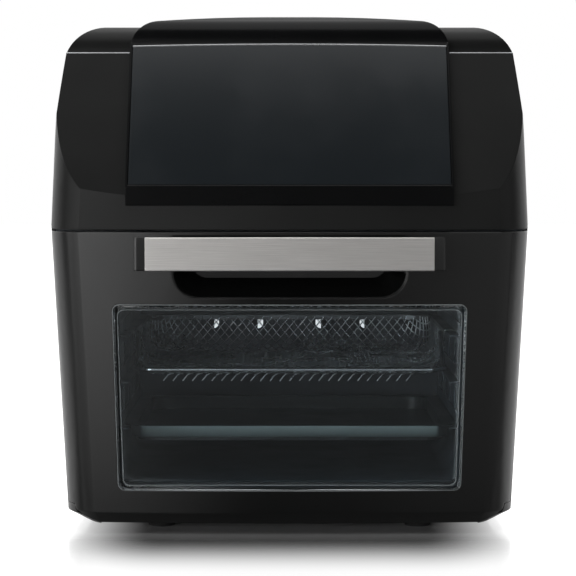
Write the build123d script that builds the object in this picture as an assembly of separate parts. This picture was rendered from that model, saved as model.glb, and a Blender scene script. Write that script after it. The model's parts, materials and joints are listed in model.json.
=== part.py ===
from build123d import *
import math
import os

# Overall sizes, in millimetres. X runs to the right, Y to the back, Z up.
seam_width = 330.0
base_taper = 19.0
shoulder_taper = 12.0
overall_depth = 334.0
handle_reach = 14.0
gland_reach = 6.0
foot_height = 4.0
base_height = 10.0
seam_height = 209.0
brow_rise = 16.4
crown_drop = 19.0
top_height = 349.4
front_draft = 9.0

# Plan outline of the body: a bowed front that meets round corners at a crease
bow = 6.0
crease_inset = 22.0
corner_depth = 36.0
fascia_slant = 27.6
ledge_run = 1.4
ledge_rise = 0.7
crown_inset = 3.6
crown_share = 1.5
flank_drop = 84.0
flank_bulge = 0.5
flank_overlap = 0.4

# Walls and clearances
shell_wall = 2.5
door_wall = 3.0
sheet = 1.2
seam_gap = 1.6
side_gap = 0.3
part_gap = 1.0
fit_gap = 0.4
running_gap = 0.05

# Control hood and touch panel
hood_half = 110.5
hood_rise = 7.0
hood_arch = 5.0
hood_shoulder = 20.0
hood_lip_rise = 12.7
hood_crest_rise = 6.6
hood_stop = 40.0
hood_fall = 26.0
panel_border = 2.0
panel_foot_gap = 1.5
panel_head_gap = 1.0
panel_arch = 1.5
panel_thickness = 2.0
board_height = 62.0
board_side_margin = 18.5
board_thickness = 1.6
board_stand = 7.0
boss_radius = 4.0
chip_size = 14.0
chip_height = 2.5

# Door, hinge and handle
door_lift = 3.6
bevel_rise = 7.2
bevel_run = 3.0
wing_depth = 40.0
corner_run = 25.5
cone_radius = 12.4
cone_slope = 0.44
hinge_inset = 14.0
hinge_rise = 5.0
pin_radius = 3.0
bracket_inset = 32.0
bracket_thickness = 3.0
bracket_head = 5.5
bracket_tail = 24.0
ear_length = 7.0
ear_radius = 6.0
window_sill = 23.2
window_head = 4.6
window_top_side = 45.0
window_foot_side = 38.5
window_corner = 4.5
window_rim = 3.4
window_sink = 0.8
window_lip = 1.5
window_bevel = 0.9
window_thickness = 3.0
handle_width = 208.0
handle_drop = 3.0
handle_height = 22.4
handle_bar = 7.0
plate_inset = 7.5
plate_thickness = 1.0
plate_flange = 4.5
plate_bend = 0.8
post_width = 24.5
scoop_drop = 5.0
scoop_height = 36.7
scoop_corner = 18.0
scoop_depth = 22.0
scoop_wall = 2.0
inner_frame_thickness = 2.0
seal_thickness = 4.6
seal_width = 6.0
inner_glass_thickness = 3.0
inner_glass_lap = 6.0
seal_margin = 0.6
handle_round = 1.4
screw_radius = 2.0
screw_boss = 4.5
screw_head = 2.4
striker_radius = 2.5
striker_reach = 4.0
striker_side = 16.0
striker_drop = 8.0

# Back, base and feet
lower_vent_rise = 108.0
upper_vent_rise = 61.0
vent_columns = 15
vent_pitch = 12.0
vent_length = 44.0
vent_width = 4.5
gland_side = 51.5
gland_rise = 32.0
gland_neck = 8.0
gland_flange = 11.0
gland_bore = 4.2
base_undercut = 12.0
base_bevel_rise = 9.0
foot_radius = 9.0
foot_flare = 1.5
front_foot_inset = 40.0
rear_foot_inset = 45.5
bracket_foot = 12.0

# Cooking cavity
cavity_side = 35.5
service_depth = 39.3
floor_rise = 19.0
ceiling_drop = 13.0
cavity_corner = 10.0
rail_rise = 36.0
rail_pitch = 32.5
rail_count = 3
rail_tail = 29.0
rail_ledge = 8.0
rail_margin = 8.0
rail_windows = 4
exhaust_drop = 70.5
exhaust_first = 26.0
exhaust_pitch = 36.0
exhaust_pairs = 3
exhaust_radius = 5.0
striker_play = 1.4
probe_radius = 2.0
probe_reach = 30.0
probe_flange = 6.0
probe_side = 40.0
probe_drop = 36.0

# Tray and basket
tray_side = 3.0
tray_short = 6.0
tray_fall = 10.0
tray_corner = 20.0
tray_flange = 8.0
tray_hem = 6.5
basket_height = 27.5
basket_front_height = 1.6
basket_apron = 5.5
basket_corner = 22.0
basket_flange = 7.0
wire_radius = 1.6
wire_run = 26.0
wire_bend = 8.0
wire_corner = 12.0
wall_sheet = 1.0
wall_pitch = 13.0
mesh_columns = 14
mesh_rows = 10
mesh_strand = 2.0
mesh_margin = 3.0

# Fan, heater and motor, on one upright axis
throat_radius = 92.0
guard_lap = 6.0
guard_slots = 36
guard_slot_width = 5.0
guard_hub = 34.0
guard_inner = 58.0
bowl_step = 6.0
bowl_height = 36.0
bowl_shoulder = 9.0
bowl_flange = 8.0
bowl_boss = 60.0
bowl_boss_turns = (30.0, 150.0, 270.0)
coil_inset = 10.0
coil_step = 11.0
tube_radius = 3.3
coil_first = 70.0
coil_bend = 10.0
coil_exit_x = 4.0
coil_leg = 24.0
clip_width = 6.0
clip_turns = (0.0, 180.0, 270.0)
coil_rise = 13.0
fan_radius = 70.0
fan_rise = 20.0
fan_depth = 12.0
fan_hub = 9.0
blade_count = 10
blade_slant = 12.0
blade_tip = 4.0
nut_radius = 5.5
nut_height = 4.0
shaft_radius = 3.0
bearing_radius = 7.0
bearing_height = 9.0
shaft_play = 3.0
shield_gap = 4.0
shield_side = 22.0
shield_front = 62.0
shield_clear = 15.3
shield_lip = 10.0
motor_stand = 12.0
core_size = 62.0
core_height = 20.0
core_depth = 26.0
core_tail = 46.0
core_window = 20.0
core_leg = 12.0
winding_half = 20.0
winding_build = 7.0
winding_round = 5.6
strap_width = 24.0
strap_thickness = 2.0
strap_foot = 9.0
rotor_radius = 15.0
air_gap = 0.6
cooling_radius = 38.0
cooling_depth = 12.0
cooling_blades = 8

# Electrical pieces
power_side = 6.0
power_tail = 19.0
power_width = 68.0
power_depth = 70.0
pillar_height = 7.0
relay_height = 16.0
relay_length = 20.0
relay_width = 16.0
transformer_size = 26.0
transformer_height = 22.0
capacitor_radius = 6.0
cutout_side = 24.0
cutout_inset = 27.0
cutout_radius = 9.0
cutout_height = 8.0
tab_width = 5.0
terminal_width = 36.0
terminal_depth = 16.0
terminal_height = 18.0
terminal_poles = 3
terminal_well = 3.0
switch_width = 12.0
switch_height = 22.0
switch_depth = 16.0

# Heights that follow from the sizes above
base_top = foot_height + base_height
fascia_foot = seam_height + brow_rise
fascia_top = top_height - crown_drop
hood_height = top_height + hood_rise
hood_lip = fascia_foot + hood_lip_rise
hood_crest = fascia_top + hood_crest_rise
panel_low = hood_lip + panel_foot_gap
panel_high = hood_crest - panel_head_gap
door_foot = foot_height + door_lift
door_top = seam_height - seam_gap
hinge_height = base_top + hinge_rise
handle_high = door_top - handle_drop
handle_low = handle_high - handle_height
scoop_high = handle_high - scoop_drop
scoop_low = scoop_high - scoop_height
window_low = door_foot + window_sill
window_high = scoop_low - window_head
cavity_floor = base_top + floor_rise
cavity_ceiling = seam_height - ceiling_drop
rail_lowest = cavity_floor + rail_rise
striker_z = cavity_ceiling - striker_drop
probe_z = cavity_ceiling - probe_drop
exhaust_z = cavity_ceiling - exhaust_drop
gland_z = base_top + gland_rise
coil_height = cavity_ceiling + coil_rise
fan_low = cavity_ceiling + fan_rise

# Widths and radii that follow
base_width = seam_width - base_taper
shoulder_width = seam_width - shoulder_taper
corner_start = base_width / 2 - corner_run
bracket_inner = corner_start - bracket_inset
bracket_outer = bracket_inner + bracket_thickness
panel_width = 2 * (hood_half - panel_border)
board_width = panel_width - 2 * board_side_margin
plate_width = handle_width - 2 * plate_inset
scoop_width = handle_width - 2 * post_width
cavity_width = base_width - 2 * cavity_side
tray_rim_width = cavity_width - 2 * tray_side
striker_x = cavity_width / 2 + striker_side
probe_x = cavity_width / 2 - probe_side
cutout_x = cavity_width / 2 - cutout_side
gland_x = gland_side - base_width / 2
bowl_radius = throat_radius + bowl_step
coil_radius = throat_radius - coil_inset

# Depths that follow
front = -overall_depth / 2 + handle_reach
back = overall_depth / 2 - gland_reach
split = front + wing_depth
hinge_y = front + front_draft + hinge_inset
swing_radius = split - hinge_y - part_gap * 1.5
frame_y = split + part_gap / 2
liner_front = frame_y + sheet
liner_back = back - service_depth
inner_frame_y = frame_y - fit_gap - seal_thickness - inner_frame_thickness
rail_length = liner_back - liner_front - rail_margin - rail_tail
tray_depth = rail_length - tray_short
axis_y = (liner_front + liner_back) / 2
shield_end = back - shell_wall - shield_clear
slant = math.radians(fascia_slant)
far = 400.0


def write(name, shape):
    """Saves one piece under its name."""
    export_step(shape, f"parts/{name}.step")


def block(x0, x1, y0, y1, z0, z1):
    """Block between two opposite corners."""
    return Pos((x0 + x1) / 2, (y0 + y1) / 2, (z0 + z1) / 2) * Box(x1 - x0, y1 - y0, z1 - z0)


def rod_x(radius, x0, x1, y, z):
    """Round bar along X."""
    return Pos((x0 + x1) / 2, y, z) * Rot(0, 90, 0) * Cylinder(radius, x1 - x0)


def rod_y(radius, y0, y1, x, z):
    """Round bar along Y."""
    return Pos(x, (y0 + y1) / 2, z) * Rot(90, 0, 0) * Cylinder(radius, y1 - y0)


def rod_z(radius, z0, z1, x, y):
    """Upright round bar."""
    return Pos(x, y, (z0 + z1) / 2) * Cylinder(radius, z1 - z0)


def both_sides(shape):
    """The piece together with its mirror image on the other side."""
    return [shape, mirror(shape, about=Plane.YZ)]


def plan_face(half, nose, rear, z):
    """Plan outline at one height, with its bowed front, crease and round corners."""
    crease_x = half - crease_inset
    crease_y = nose + bow
    side_y = crease_y + corner_depth
    edges = [
        ThreePointArc((-crease_x, crease_y, z), (0, nose, z), (crease_x, crease_y, z)),
        TangentArc((half, side_y, z), (crease_x, crease_y, z), tangent=(0, -1, 0)),
        Line((half, side_y, z), (half, rear, z)),
        Line((half, rear, z), (-half, rear, z)),
        Line((-half, rear, z), (-half, side_y, z)),
        TangentArc((-half, side_y, z), (-crease_x, crease_y, z), tangent=(0, -1, 0)),
    ]
    return make_face(edges).face()


def lower_half(z):
    """Half width of the lower body, which widens up to the seam."""
    share = (z - base_top) / (seam_height - base_top)
    return (base_width + (seam_width - base_width) * share) / 2


def lower_nose(z):
    """Y of the door's crown, which leans back towards the foot."""
    share = (z - base_top) / (seam_height - base_top)
    return front + front_draft * (1 - share)


def lower_body(grow, z0, z1, rear):
    """Tapered lower body between two heights, grown outwards by a wall."""
    faces = [plan_face(lower_half(z) + grow, lower_nose(z) - grow, rear, z) for z in (z0, z1)]
    return loft(faces, ruled=True)


def upper_half(z):
    """Half width of the upper body, which narrows from the seam."""
    share = (z - seam_height) / (fascia_top - seam_height)
    return (seam_width + (shoulder_width - seam_width) * share) / 2


def fascia_y(z, rise):
    """Y of the slanted fascia at a height, or of a plane that stands off it by a rise."""
    return front + (z - fascia_foot) * math.tan(slant) - rise / math.cos(slant)


def extrude_yz(edges, half):
    """Solid from a closed outline in the YZ plane, from -half to +half in X."""
    face = make_face(edges).face()
    return extrude(face, amount=half, dir=(1, 0, 0), both=True)


def extrude_xz(edges, y0, y1):
    """Solid from a closed outline in the XZ plane, between two depths."""
    face = make_face(edges).face()
    return Pos(0, y0, 0) * extrude(face, amount=y1 - y0, dir=(0, 1, 0))


def brow(crest, rise, top):
    """Edge of the fascia, the ledge behind it and the end of the quarter round that rises from the ledge."""
    edge = (0, fascia_y(crest, rise), crest)
    ledge = (0, edge[1] + ledge_run, crest + ledge_rise)
    return edge, ledge, (0, ledge[1] + top - ledge[2], top)


def side_profile(rise, z0, top, rear):
    """Side view outline: slanted fascia, ledge, round nose and flat top."""
    foot = (0, fascia_y(z0, rise), z0)
    edge, ledge, nose = brow(fascia_top, rise, top)
    return [
        Line(foot, edge),
        Line(edge, ledge),
        TangentArc(nose, ledge, tangent=(0, -1, 0)),
        Line(nose, (0, rear, top)),
        Line((0, rear, top), (0, rear, z0)),
        Line((0, rear, z0), foot),
    ]


def upper_body(grow, z0, rear):
    """Upper body: drafted plan, slanted fascia, round nose and round top edges."""
    top = top_height + grow
    sections = [(upper_half(z) + grow, z) for z in (z0, top + part_gap)]
    plan = loft([plan_face(half, front - grow, rear, z) for half, z in sections], ruled=True)
    side = extrude_yz(side_profile(grow, z0 - part_gap, top, rear + part_gap), far)
    crown_x = upper_half(fascia_top) - crown_inset + grow
    flat_x = crown_x - crown_share * (top - fascia_top)
    flank_low = fascia_top - flank_drop
    flank_x = upper_half(flank_low) + grow + flank_overlap
    middle = ((crown_x + flank_x) / 2 + flank_bulge, (fascia_top + flank_low) / 2)
    wide = seam_width / 2 + crown_drop
    low = z0 - part_gap
    end_view = [
        Line((-flat_x, 0, top), (flat_x, 0, top)),
        TangentArc((flat_x, 0, top), (crown_x, 0, fascia_top), tangent=(1, 0, 0)),
        ThreePointArc((crown_x, 0, fascia_top), (middle[0], 0, middle[1]), (flank_x, 0, flank_low)),
        Line((flank_x, 0, flank_low), (wide, 0, flank_low)),
        Line((wide, 0, flank_low), (wide, 0, low)),
        Line((wide, 0, low), (-wide, 0, low)),
        Line((-wide, 0, low), (-wide, 0, flank_low)),
        Line((-wide, 0, flank_low), (-flank_x, 0, flank_low)),
        ThreePointArc((-flank_x, 0, flank_low), (-middle[0], 0, middle[1]), (-crown_x, 0, fascia_top)),
        TangentArc((-flat_x, 0, top), (-crown_x, 0, fascia_top), tangent=(-1, 0, 0)),
    ]
    return plan & side & extrude_xz(end_view, -far, far)


def prism(face, y0, y1):
    """Solid from a face in the XZ plane, between two depths."""
    return Pos(0, y0, 0) * extrude(face, amount=y1 - y0, dir=(0, 1, 0))


def swing_cone(grow):
    """Cones about the hinge axis inside which the door's lower corners turn."""
    length = lower_half(hinge_height) + part_gap - corner_start
    wide = cone_radius + grow
    cone = Cone(wide, wide - length * cone_slope, length)
    return both_sides(Pos(corner_start + length / 2, hinge_y, hinge_height) * Rot(0, 90, 0) * cone)


def door_outer(grow, foot, z1):
    """Outside of the door with its bevelled foot, up to the parting plane."""
    knee = door_foot + bevel_rise
    heights = [(foot, -bevel_run), (knee, 0), (z1, 0)]
    faces = [plan_face(lower_half(z) + run + grow, lower_nose(z) - run - grow, 0, z) for z, run in heights]
    return loft(faces, ruled=True)


def window_face(inset):
    """Window outline, a little narrower at its foot, with small round corners."""
    top = seam_width / 2 - window_top_side - inset
    foot = base_width / 2 - window_foot_side - inset
    low = window_low + inset
    high = window_high - inset
    points = [(-foot, 0, low), (foot, 0, low), (top, 0, high), (-top, 0, high)]
    outline = make_face(Polyline(*points, close=True))
    return fillet(outline.vertices(), window_corner).face()


def scoop_face(grow):
    """Outline of the finger scoop, with large lower corners."""
    half = scoop_width / 2 + grow
    low = scoop_low - grow
    high = scoop_high + grow
    points = [(-half, 0, low), (half, 0, low), (half, 0, high), (-half, 0, high)]
    outline = make_face(Polyline(*points, close=True))
    lower = outline.vertices().group_by(Axis.Z)[0]
    return fillet(lower, scoop_corner + grow).face()


def hinge_ears():
    """Ears on either side of each bracket that carry the hinge pin."""
    inner = [bracket_inner - part_gap - ear_length, bracket_outer + part_gap]
    ears = []
    for x in inner:
        ears += both_sides(rod_x(ear_radius, x, x + ear_length, hinge_y, hinge_height))
        web = block(x, x + ear_length, -far, hinge_y, hinge_height - ear_radius, hinge_height + ear_radius)
        ears += both_sides(web)
    return ears


def handle_post_x():
    """X of the handle's fixing screws, in the middle of its end posts."""
    return (scoop_width + handle_width) / 4


def handle_middle():
    """Height of the handle's middle."""
    return (handle_low + handle_high) / 2


def screw_seat_y():
    """Y of the bosses inside the door that the handle screws sit on."""
    return lower_nose(handle_middle()) + bow + door_wall


def door_panel():
    """Moulded door front: bowed shell, round wings, window, finger scoop and hinge ears."""
    rear = split - part_gap / 2
    outer = door_outer(0, door_foot, door_top) & block(-far, far, -far, rear, 0, far)
    hollow = lower_body(-door_wall, door_foot + door_wall, door_top - door_wall, 0)
    scoop_back = front + scoop_depth
    cup = prism(scoop_face(scoop_wall), -far, scoop_back + scoop_wall) & outer
    ears = [outer & ear for ear in hinge_ears()]
    posts = [rod_y(screw_boss, front, screw_seat_y(), x, handle_middle()) & outer
             for x in (-handle_post_x(), handle_post_x())]
    panel = (outer - hollow) + cup + ears + posts
    panel -= prism(scoop_face(0), -far, scoop_back)
    panel -= prism(window_face(0), -far, inner_frame_y)
    panel -= [rod_y(screw_radius, -far, far, x, handle_middle()) for x in (-handle_post_x(), handle_post_x())]
    slot_front = hinge_y - bracket_head - fit_gap
    slot_top = hinge_height + bracket_head + part_gap
    slot = block(bracket_inner - part_gap, bracket_outer + part_gap, slot_front, far, 0, slot_top)
    panel -= both_sides(slot)
    panel -= both_sides(rod_x(pin_radius, 0, corner_start, hinge_y, hinge_height))
    lower_corner = block(corner_start, far, -far, far, 0, hinge_height)
    panel -= [corner - cone for corner, cone in zip(both_sides(lower_corner), swing_cone(0))]
    heel = block(-corner_start, corner_start, hinge_y, far, 0, hinge_height)
    return panel - (heel - rod_x(swing_radius, -corner_start, corner_start, hinge_y, hinge_height))


def hinge_pins():
    """A pin on each side, through both ears and the bracket between them."""
    x0 = bracket_inner - part_gap - ear_length
    x1 = bracket_outer + part_gap + ear_length
    return Compound(both_sides(rod_x(pin_radius, x0, x1, hinge_y, hinge_height)))


def pane_slab(near, deep):
    """Flat slab that leans with the door, between two depths behind the door's crown."""
    low = window_low - window_rim
    high = window_high + window_rim
    depths = [(near, low), (near, high), (deep, high), (deep, low)]
    corners = [(0, lower_nose(z) + y, z) for y, z in depths]
    return extrude_yz(Polyline(*corners, close=True), far)


def door_window():
    """Clear flat pane with a bevelled front edge and a rim that reaches back through the bowed door."""
    low = window_low - window_rim
    high = window_high + window_rim
    pane = pane_slab(window_sink, wing_depth) & prism(window_face(fit_gap), -far, 0)
    pane -= lower_body(-door_wall - window_lip, low - part_gap, high + part_gap, 0)
    pane -= pane_slab(window_sink + window_thickness, wing_depth) & prism(window_face(window_rim), -far, 0)
    crown = pane.faces().sort_by(Axis.Y)[0]
    return chamfer(crown.edges(), window_bevel)


def door_inner_frame():
    """Flat inner door frame with its window and a lip round the foot of the hinges."""
    low = hinge_height + bracket_head + part_gap
    high = door_top - door_wall
    y1 = inner_frame_y + inner_frame_thickness
    slab = block(-far, far, inner_frame_y, y1, low, high)
    frame = slab & lower_body(-door_wall - fit_gap, door_foot, door_top, 0)
    frame -= prism(window_face(0), -far, 0)
    return frame - rod_y(striker_radius, -far, far, striker_x, striker_z)


def door_inner_glass():
    """Flat inner pane that laps the opening of the inner frame, clear of the hinges."""
    pane = prism(window_face(-inner_glass_lap), inner_frame_y - inner_glass_thickness, inner_frame_y)
    return pane & block(-far, far, -far, far, hinge_height + bracket_head + part_gap, far)


def door_seal():
    """Soft ring round the mouth of the cavity, fixed to the inner frame."""
    y0 = inner_frame_y + inner_frame_thickness
    inner = mouth_face(seal_margin)
    ring = prism(mouth_face(seal_margin + seal_width), y0, y0 + seal_thickness)
    return ring - prism(inner, y0, y0 + seal_thickness)


def mouth_face(grow):
    """Outline of the cavity's mouth, grown by a margin."""
    height = cavity_ceiling - cavity_floor + 2 * grow
    outline = RectangleRounded(cavity_width + 2 * grow, height, cavity_corner + grow)
    return (Pos(0, 0, (cavity_floor + cavity_ceiling) / 2) * Rot(90, 0, 0) * outline).face()


def door_striker():
    """Pin on the inner frame that works the door switch."""
    y0 = inner_frame_y
    tip = frame_y + sheet + striker_reach
    pin = rod_y(striker_radius, y0, tip, striker_x, striker_z)
    return pin + rod_y(striker_radius * 2, y0 - inner_frame_thickness, y0, striker_x, striker_z)


def handle_body():
    """Handle bar with end posts that stand on the bowed door."""
    y0 = -overall_depth / 2 + plate_thickness
    half = handle_width / 2
    bar = block(-half, half, y0, split, handle_low, handle_high)
    bar = fillet(bar.edges().filter_by(Axis.Z).group_by(Axis.Y)[0], handle_round)
    bar -= lower_body(0, handle_low - part_gap, handle_high + part_gap, 0)
    bar &= block(-far, far, -far, front + bow, 0, far)
    finger = block(-scoop_width / 2, scoop_width / 2, y0 + handle_bar, split, 0, far)
    bar -= finger
    plate_half = plate_width / 2
    for z in (handle_low, handle_high - plate_thickness):
        bar -= block(-plate_half, plate_half, y0, y0 + plate_flange, z, z + plate_thickness)
    holes = [rod_y(screw_radius, y0 + handle_bar, far, x, handle_middle())
             for x in (-handle_post_x(), handle_post_x())]
    return bar - holes


def handle_plate():
    """Bent steel plate that wraps the front of the handle bar."""
    y0 = -overall_depth / 2
    half = plate_width / 2
    plate = block(-half, half, y0, y0 + plate_thickness + plate_flange, handle_low, handle_high)
    long_edges = plate.edges().filter_by(Axis.X).group_by(Axis.Y)[0]
    plate = fillet(long_edges, plate_bend)
    low = handle_low + plate_thickness
    high = handle_high - plate_thickness
    return plate - block(-far, far, y0 + plate_thickness, 0, low, high)


def handle_screws():
    """Two screws from inside the door into the handle's end posts."""
    y0 = -overall_depth / 2 + plate_thickness + handle_bar
    seat = screw_seat_y()
    screws = []
    for x in (-handle_post_x(), handle_post_x()):
        shank = rod_y(screw_radius, y0, seat, x, handle_middle())
        screws.append(shank + rod_y(screw_boss, seat, seat + screw_head, x, handle_middle()))
    return Compound(screws)


def upper_housing():
    """Upper shell, with a floor over the door and bosses for the control board."""
    outer = upper_body(0, seam_height, back)
    inner = upper_body(-shell_wall, seam_height - part_gap, back + part_gap)
    floor_end = liner_front
    over_door = block(-far, far, -far, floor_end, seam_height + shell_wall, far)
    shell = outer - (inner & over_door) - (inner & block(-far, far, floor_end, far, 0, far))
    length = board_stand
    bosses = [board_plane(-shell_wall) * Pos(x, y, -length / 2) * Cylinder(boss_radius, length)
              for x, y in board_corners()]
    return shell + bosses


def fascia_plane(rise, z):
    """Plane along the slanted fascia, facing out of it, centred at a height."""
    normal = (0, -math.cos(slant), math.sin(slant))
    return Plane(origin=(0, fascia_y(z, rise), z), x_dir=(1, 0, 0), z_dir=normal)


def board_plane(rise):
    """Plane of the control board's seat, behind the touch panel."""
    return fascia_plane(rise, (panel_low + panel_high) / 2)


def board_corners():
    """Fixing points of the control board, in its own plane."""
    half_x = board_width / 2 - boss_radius
    half_y = board_height / 2 - boss_radius
    return [(x, y) for x in (-half_x, half_x) for y in (-half_y, half_y)]


def panel_face(grow):
    """Touch panel outline, with its gently arched top edge."""
    half = panel_width / 2 + grow
    reach = (panel_high - panel_low) / math.cos(slant) / 2 + grow
    shoulder = reach - panel_arch
    edges = [
        Line((-half, -reach), (half, -reach)),
        Line((half, -reach), (half, shoulder)),
        ThreePointArc((half, shoulder), (0, reach), (-half, shoulder)),
        Line((-half, shoulder), (-half, -reach)),
    ]
    return make_face(edges).face()


def control_hood():
    """Raised spine that carries the touch panel and runs back over the top."""
    foot = (0, fascia_y(fascia_foot, 0), fascia_foot)
    lip = (0, fascia_y(hood_lip, hood_rise), hood_lip)
    crest, ledge, top = brow(hood_crest, hood_rise, hood_height)
    tail = (0, back - hood_stop, top_height - part_gap)
    rear = (0, tail[1] - hood_fall, hood_height)
    under = (0, tail[1], fascia_foot)
    side = [
        Line(foot, lip),
        Line(lip, crest),
        Line(crest, ledge),
        TangentArc(top, ledge, tangent=(0, -1, 0)),
        Line(top, rear),
        TangentArc(rear, tail, tangent=(0, 1, 0)),
        Line(tail, under),
        Line(under, foot),
    ]
    low = fascia_foot - part_gap
    edge = hood_height - hood_arch
    end = make_face([
        Line((-hood_half, 0, low), (hood_half, 0, low)),
        Line((hood_half, 0, low), (hood_half, 0, edge)),
        ThreePointArc((hood_half, 0, edge), (0, 0, hood_height), (-hood_half, 0, edge)),
        Line((-hood_half, 0, edge), (-hood_half, 0, low)),
    ])
    end = fillet(end.vertices().group_by(Axis.Z)[-1], hood_shoulder).face()
    hood = extrude_yz(side, far) & prism(end, -far, far)
    hood -= upper_body(0, seam_height, back)
    return hood - board_plane(hood_rise) * extrude(panel_face(fit_gap), amount=-panel_thickness)


def touch_panel():
    """Glossy touch plate, flush in the hood."""
    return board_plane(hood_rise) * extrude(panel_face(0), amount=-panel_thickness)


def control_board():
    """Circuit board on bosses behind the fascia, with its driver chips."""
    plane = board_plane(-shell_wall - board_stand)
    board = Pos(0, 0, -board_thickness / 2) * Box(board_width, board_height, board_thickness)
    chips = [Pos(x, 0, -board_thickness - chip_height / 2) * Box(chip_size, chip_size, chip_height)
             for x in (-board_width / 4, 0, board_width / 4)]
    return plane * (board + chips)


def side_panel():
    """Right side panel, from the parting plane to the back."""
    z1 = seam_height - side_gap
    shell = lower_body(0, base_top, z1, back)
    shell -= lower_body(-shell_wall, base_top - part_gap, z1 + part_gap, back + part_gap)
    return shell & block(0, far, frame_y, far, 0, far)


def back_panel():
    """Back plate between the shells, with two fields of vent slots and the cord's hole."""
    y0 = back - shell_wall
    slab = block(-far, far, y0, back, base_top, seam_height)
    inset = shell_wall + fit_gap
    plate = slab & lower_body(-inset, base_top, seam_height, far)
    plate += block(-far, far, y0, back, seam_height, far) & upper_body(-inset, seam_height, far)
    slots = []
    half = vent_width / 2
    for middle in (base_top + lower_vent_rise, seam_height + upper_vent_rise):
        low = middle - vent_length / 2
        for column in range(vent_columns):
            x = (column - (vent_columns - 1) / 2) * vent_pitch
            slots.append(block(x - half, x + half, -far, far, low, low + vent_length))
    plate -= slots
    plate -= rod_y(gland_neck, -far, far, gland_x, gland_z)
    return plate - [rod_y(screw_radius, -far, far, x, z) for x, z in back_screw_places()]


def back_screw_places():
    """Places of the back panel's screws, near both edges."""
    inset = shell_wall + screw_boss * 2
    heights = (base_top + screw_boss * 2, (base_top + seam_height) / 2, seam_height - screw_boss * 2)
    return [(side * (lower_half(z) - inset), z) for z in heights for side in (-1, 1)]


def back_screws():
    """Pan head screws round the back panel."""
    screws = []
    for x, z in back_screw_places():
        shank = rod_y(screw_radius, back - shell_wall * 2, back, x, z)
        screws.append(shank + rod_y(screw_boss, back, back + screw_head, x, z))
    return Compound(screws)


def cord_gland():
    """Ring in the back panel that the mains cord leaves through."""
    body = rod_y(gland_neck, back - shell_wall, back, gland_x, gland_z)
    body += rod_y(gland_flange, back, back + gland_reach, gland_x, gland_z)
    return body - rod_y(gland_bore, -far, far, gland_x, gland_z)


def base_slab(wall, z0, z1, rear):
    """Base outline between two heights, bevelled below its knee, or its hollow inside a wall."""
    knee = foot_height + base_bevel_rise
    slope = base_undercut / base_bevel_rise
    heights = [(z0, slope * (knee - z0)), (knee, 0), (z1, 0)]
    faces = [plan_face(lower_half(z) - run - wall, lower_nose(z) + run + wall, rear, z) for z, run in heights]
    return loft(faces, ruled=True)


def base_pan():
    """Base with a floor, low walls and the raised seats under the door's lower corners."""
    floor = foot_height + shell_wall
    crown = hinge_height - fit_gap
    slab = base_slab(0, foot_height, crown, back)
    tub = slab & block(-far, far, frame_y, far, 0, base_top)
    tub -= base_slab(shell_wall, floor, base_top + part_gap, back - shell_wall) & block(
        -far, far, frame_y + shell_wall, far, 0, far)
    seat = block(corner_start + part_gap, far, -far, frame_y - fit_gap, 0, far)
    bridge = block(corner_start + part_gap, far, -far, frame_y + shell_wall, 0, base_top)
    corners = both_sides(slab & (seat + bridge))
    return tub + [corner - cone for corner, cone in zip(corners, swing_cone(part_gap))]


def feet():
    """Four round rubber feet with a slight taper."""
    foot = Cone(foot_radius, foot_radius + foot_flare, foot_height)
    return Compound([Pos(x, y, foot_height / 2) * foot for x, y in foot_places()])


def foot_places():
    """Places of the feet under the base."""
    front_y = frame_y + foot_radius + shell_wall
    rear_y = back - foot_radius * 2
    pairs = [(corner_start - front_foot_inset, front_y), (base_width / 2 - rear_foot_inset, rear_y)]
    return [(side * x, y) for x, y in pairs for side in (-1, 1)]


def hinge_brackets():
    """Steel arms from the base that hold the hinge pins."""
    tail = frame_y + bracket_tail
    floor = foot_height + shell_wall
    heel = frame_y + shell_wall + part_gap
    arm = rod_x(bracket_head, bracket_inner, bracket_outer, hinge_y, hinge_height)
    top = hinge_height + bracket_head
    arm += block(bracket_inner, bracket_outer, hinge_y, tail, base_top + part_gap, top)
    arm += block(bracket_inner, bracket_outer, heel, tail, floor, hinge_height)
    arm += block(bracket_inner - bracket_foot, bracket_outer, heel, tail, floor, floor + bracket_thickness)
    arm -= rod_x(pin_radius + running_gap, 0, far, hinge_y, hinge_height)
    return Compound(both_sides(arm))


def cavity_front_frame():
    """Sheet frame round the mouth of the cavity, between the side panels."""
    slab = block(-far, far, frame_y, liner_front, base_top, seam_height - side_gap)
    plate = slab & lower_body(-shell_wall - fit_gap, base_top, seam_height, far)
    plate -= prism(mouth_face(0), -far, far)
    top = hinge_height + bracket_head + part_gap
    plate -= both_sides(block(bracket_inner - part_gap, bracket_outer + part_gap, -far, far, 0, top))
    return plate - rod_y(striker_radius + striker_play, -far, far, striker_x, striker_z)


def cavity_liner():
    """Drawn steel box of the cooking space, open at the front, at the fan's throat and at its exhaust holes."""
    box = prism(mouth_face(sheet), liner_front, liner_back + sheet)
    box -= prism(mouth_face(0), liner_front, liner_back)
    box -= rod_z(throat_radius, cavity_ceiling - part_gap, far, 0, axis_y)
    for index in range(exhaust_pairs):
        x = exhaust_first + exhaust_pitch * index
        box -= both_sides(rod_y(exhaust_radius, liner_back - part_gap, far, x, exhaust_z))
    return box - rod_y(probe_radius, liner_back - part_gap, far, probe_x, probe_z)


def rail_heights():
    """Heights of the shelf ledges."""
    return [rail_lowest + rail_pitch * level for level in range(rail_count)]


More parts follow.
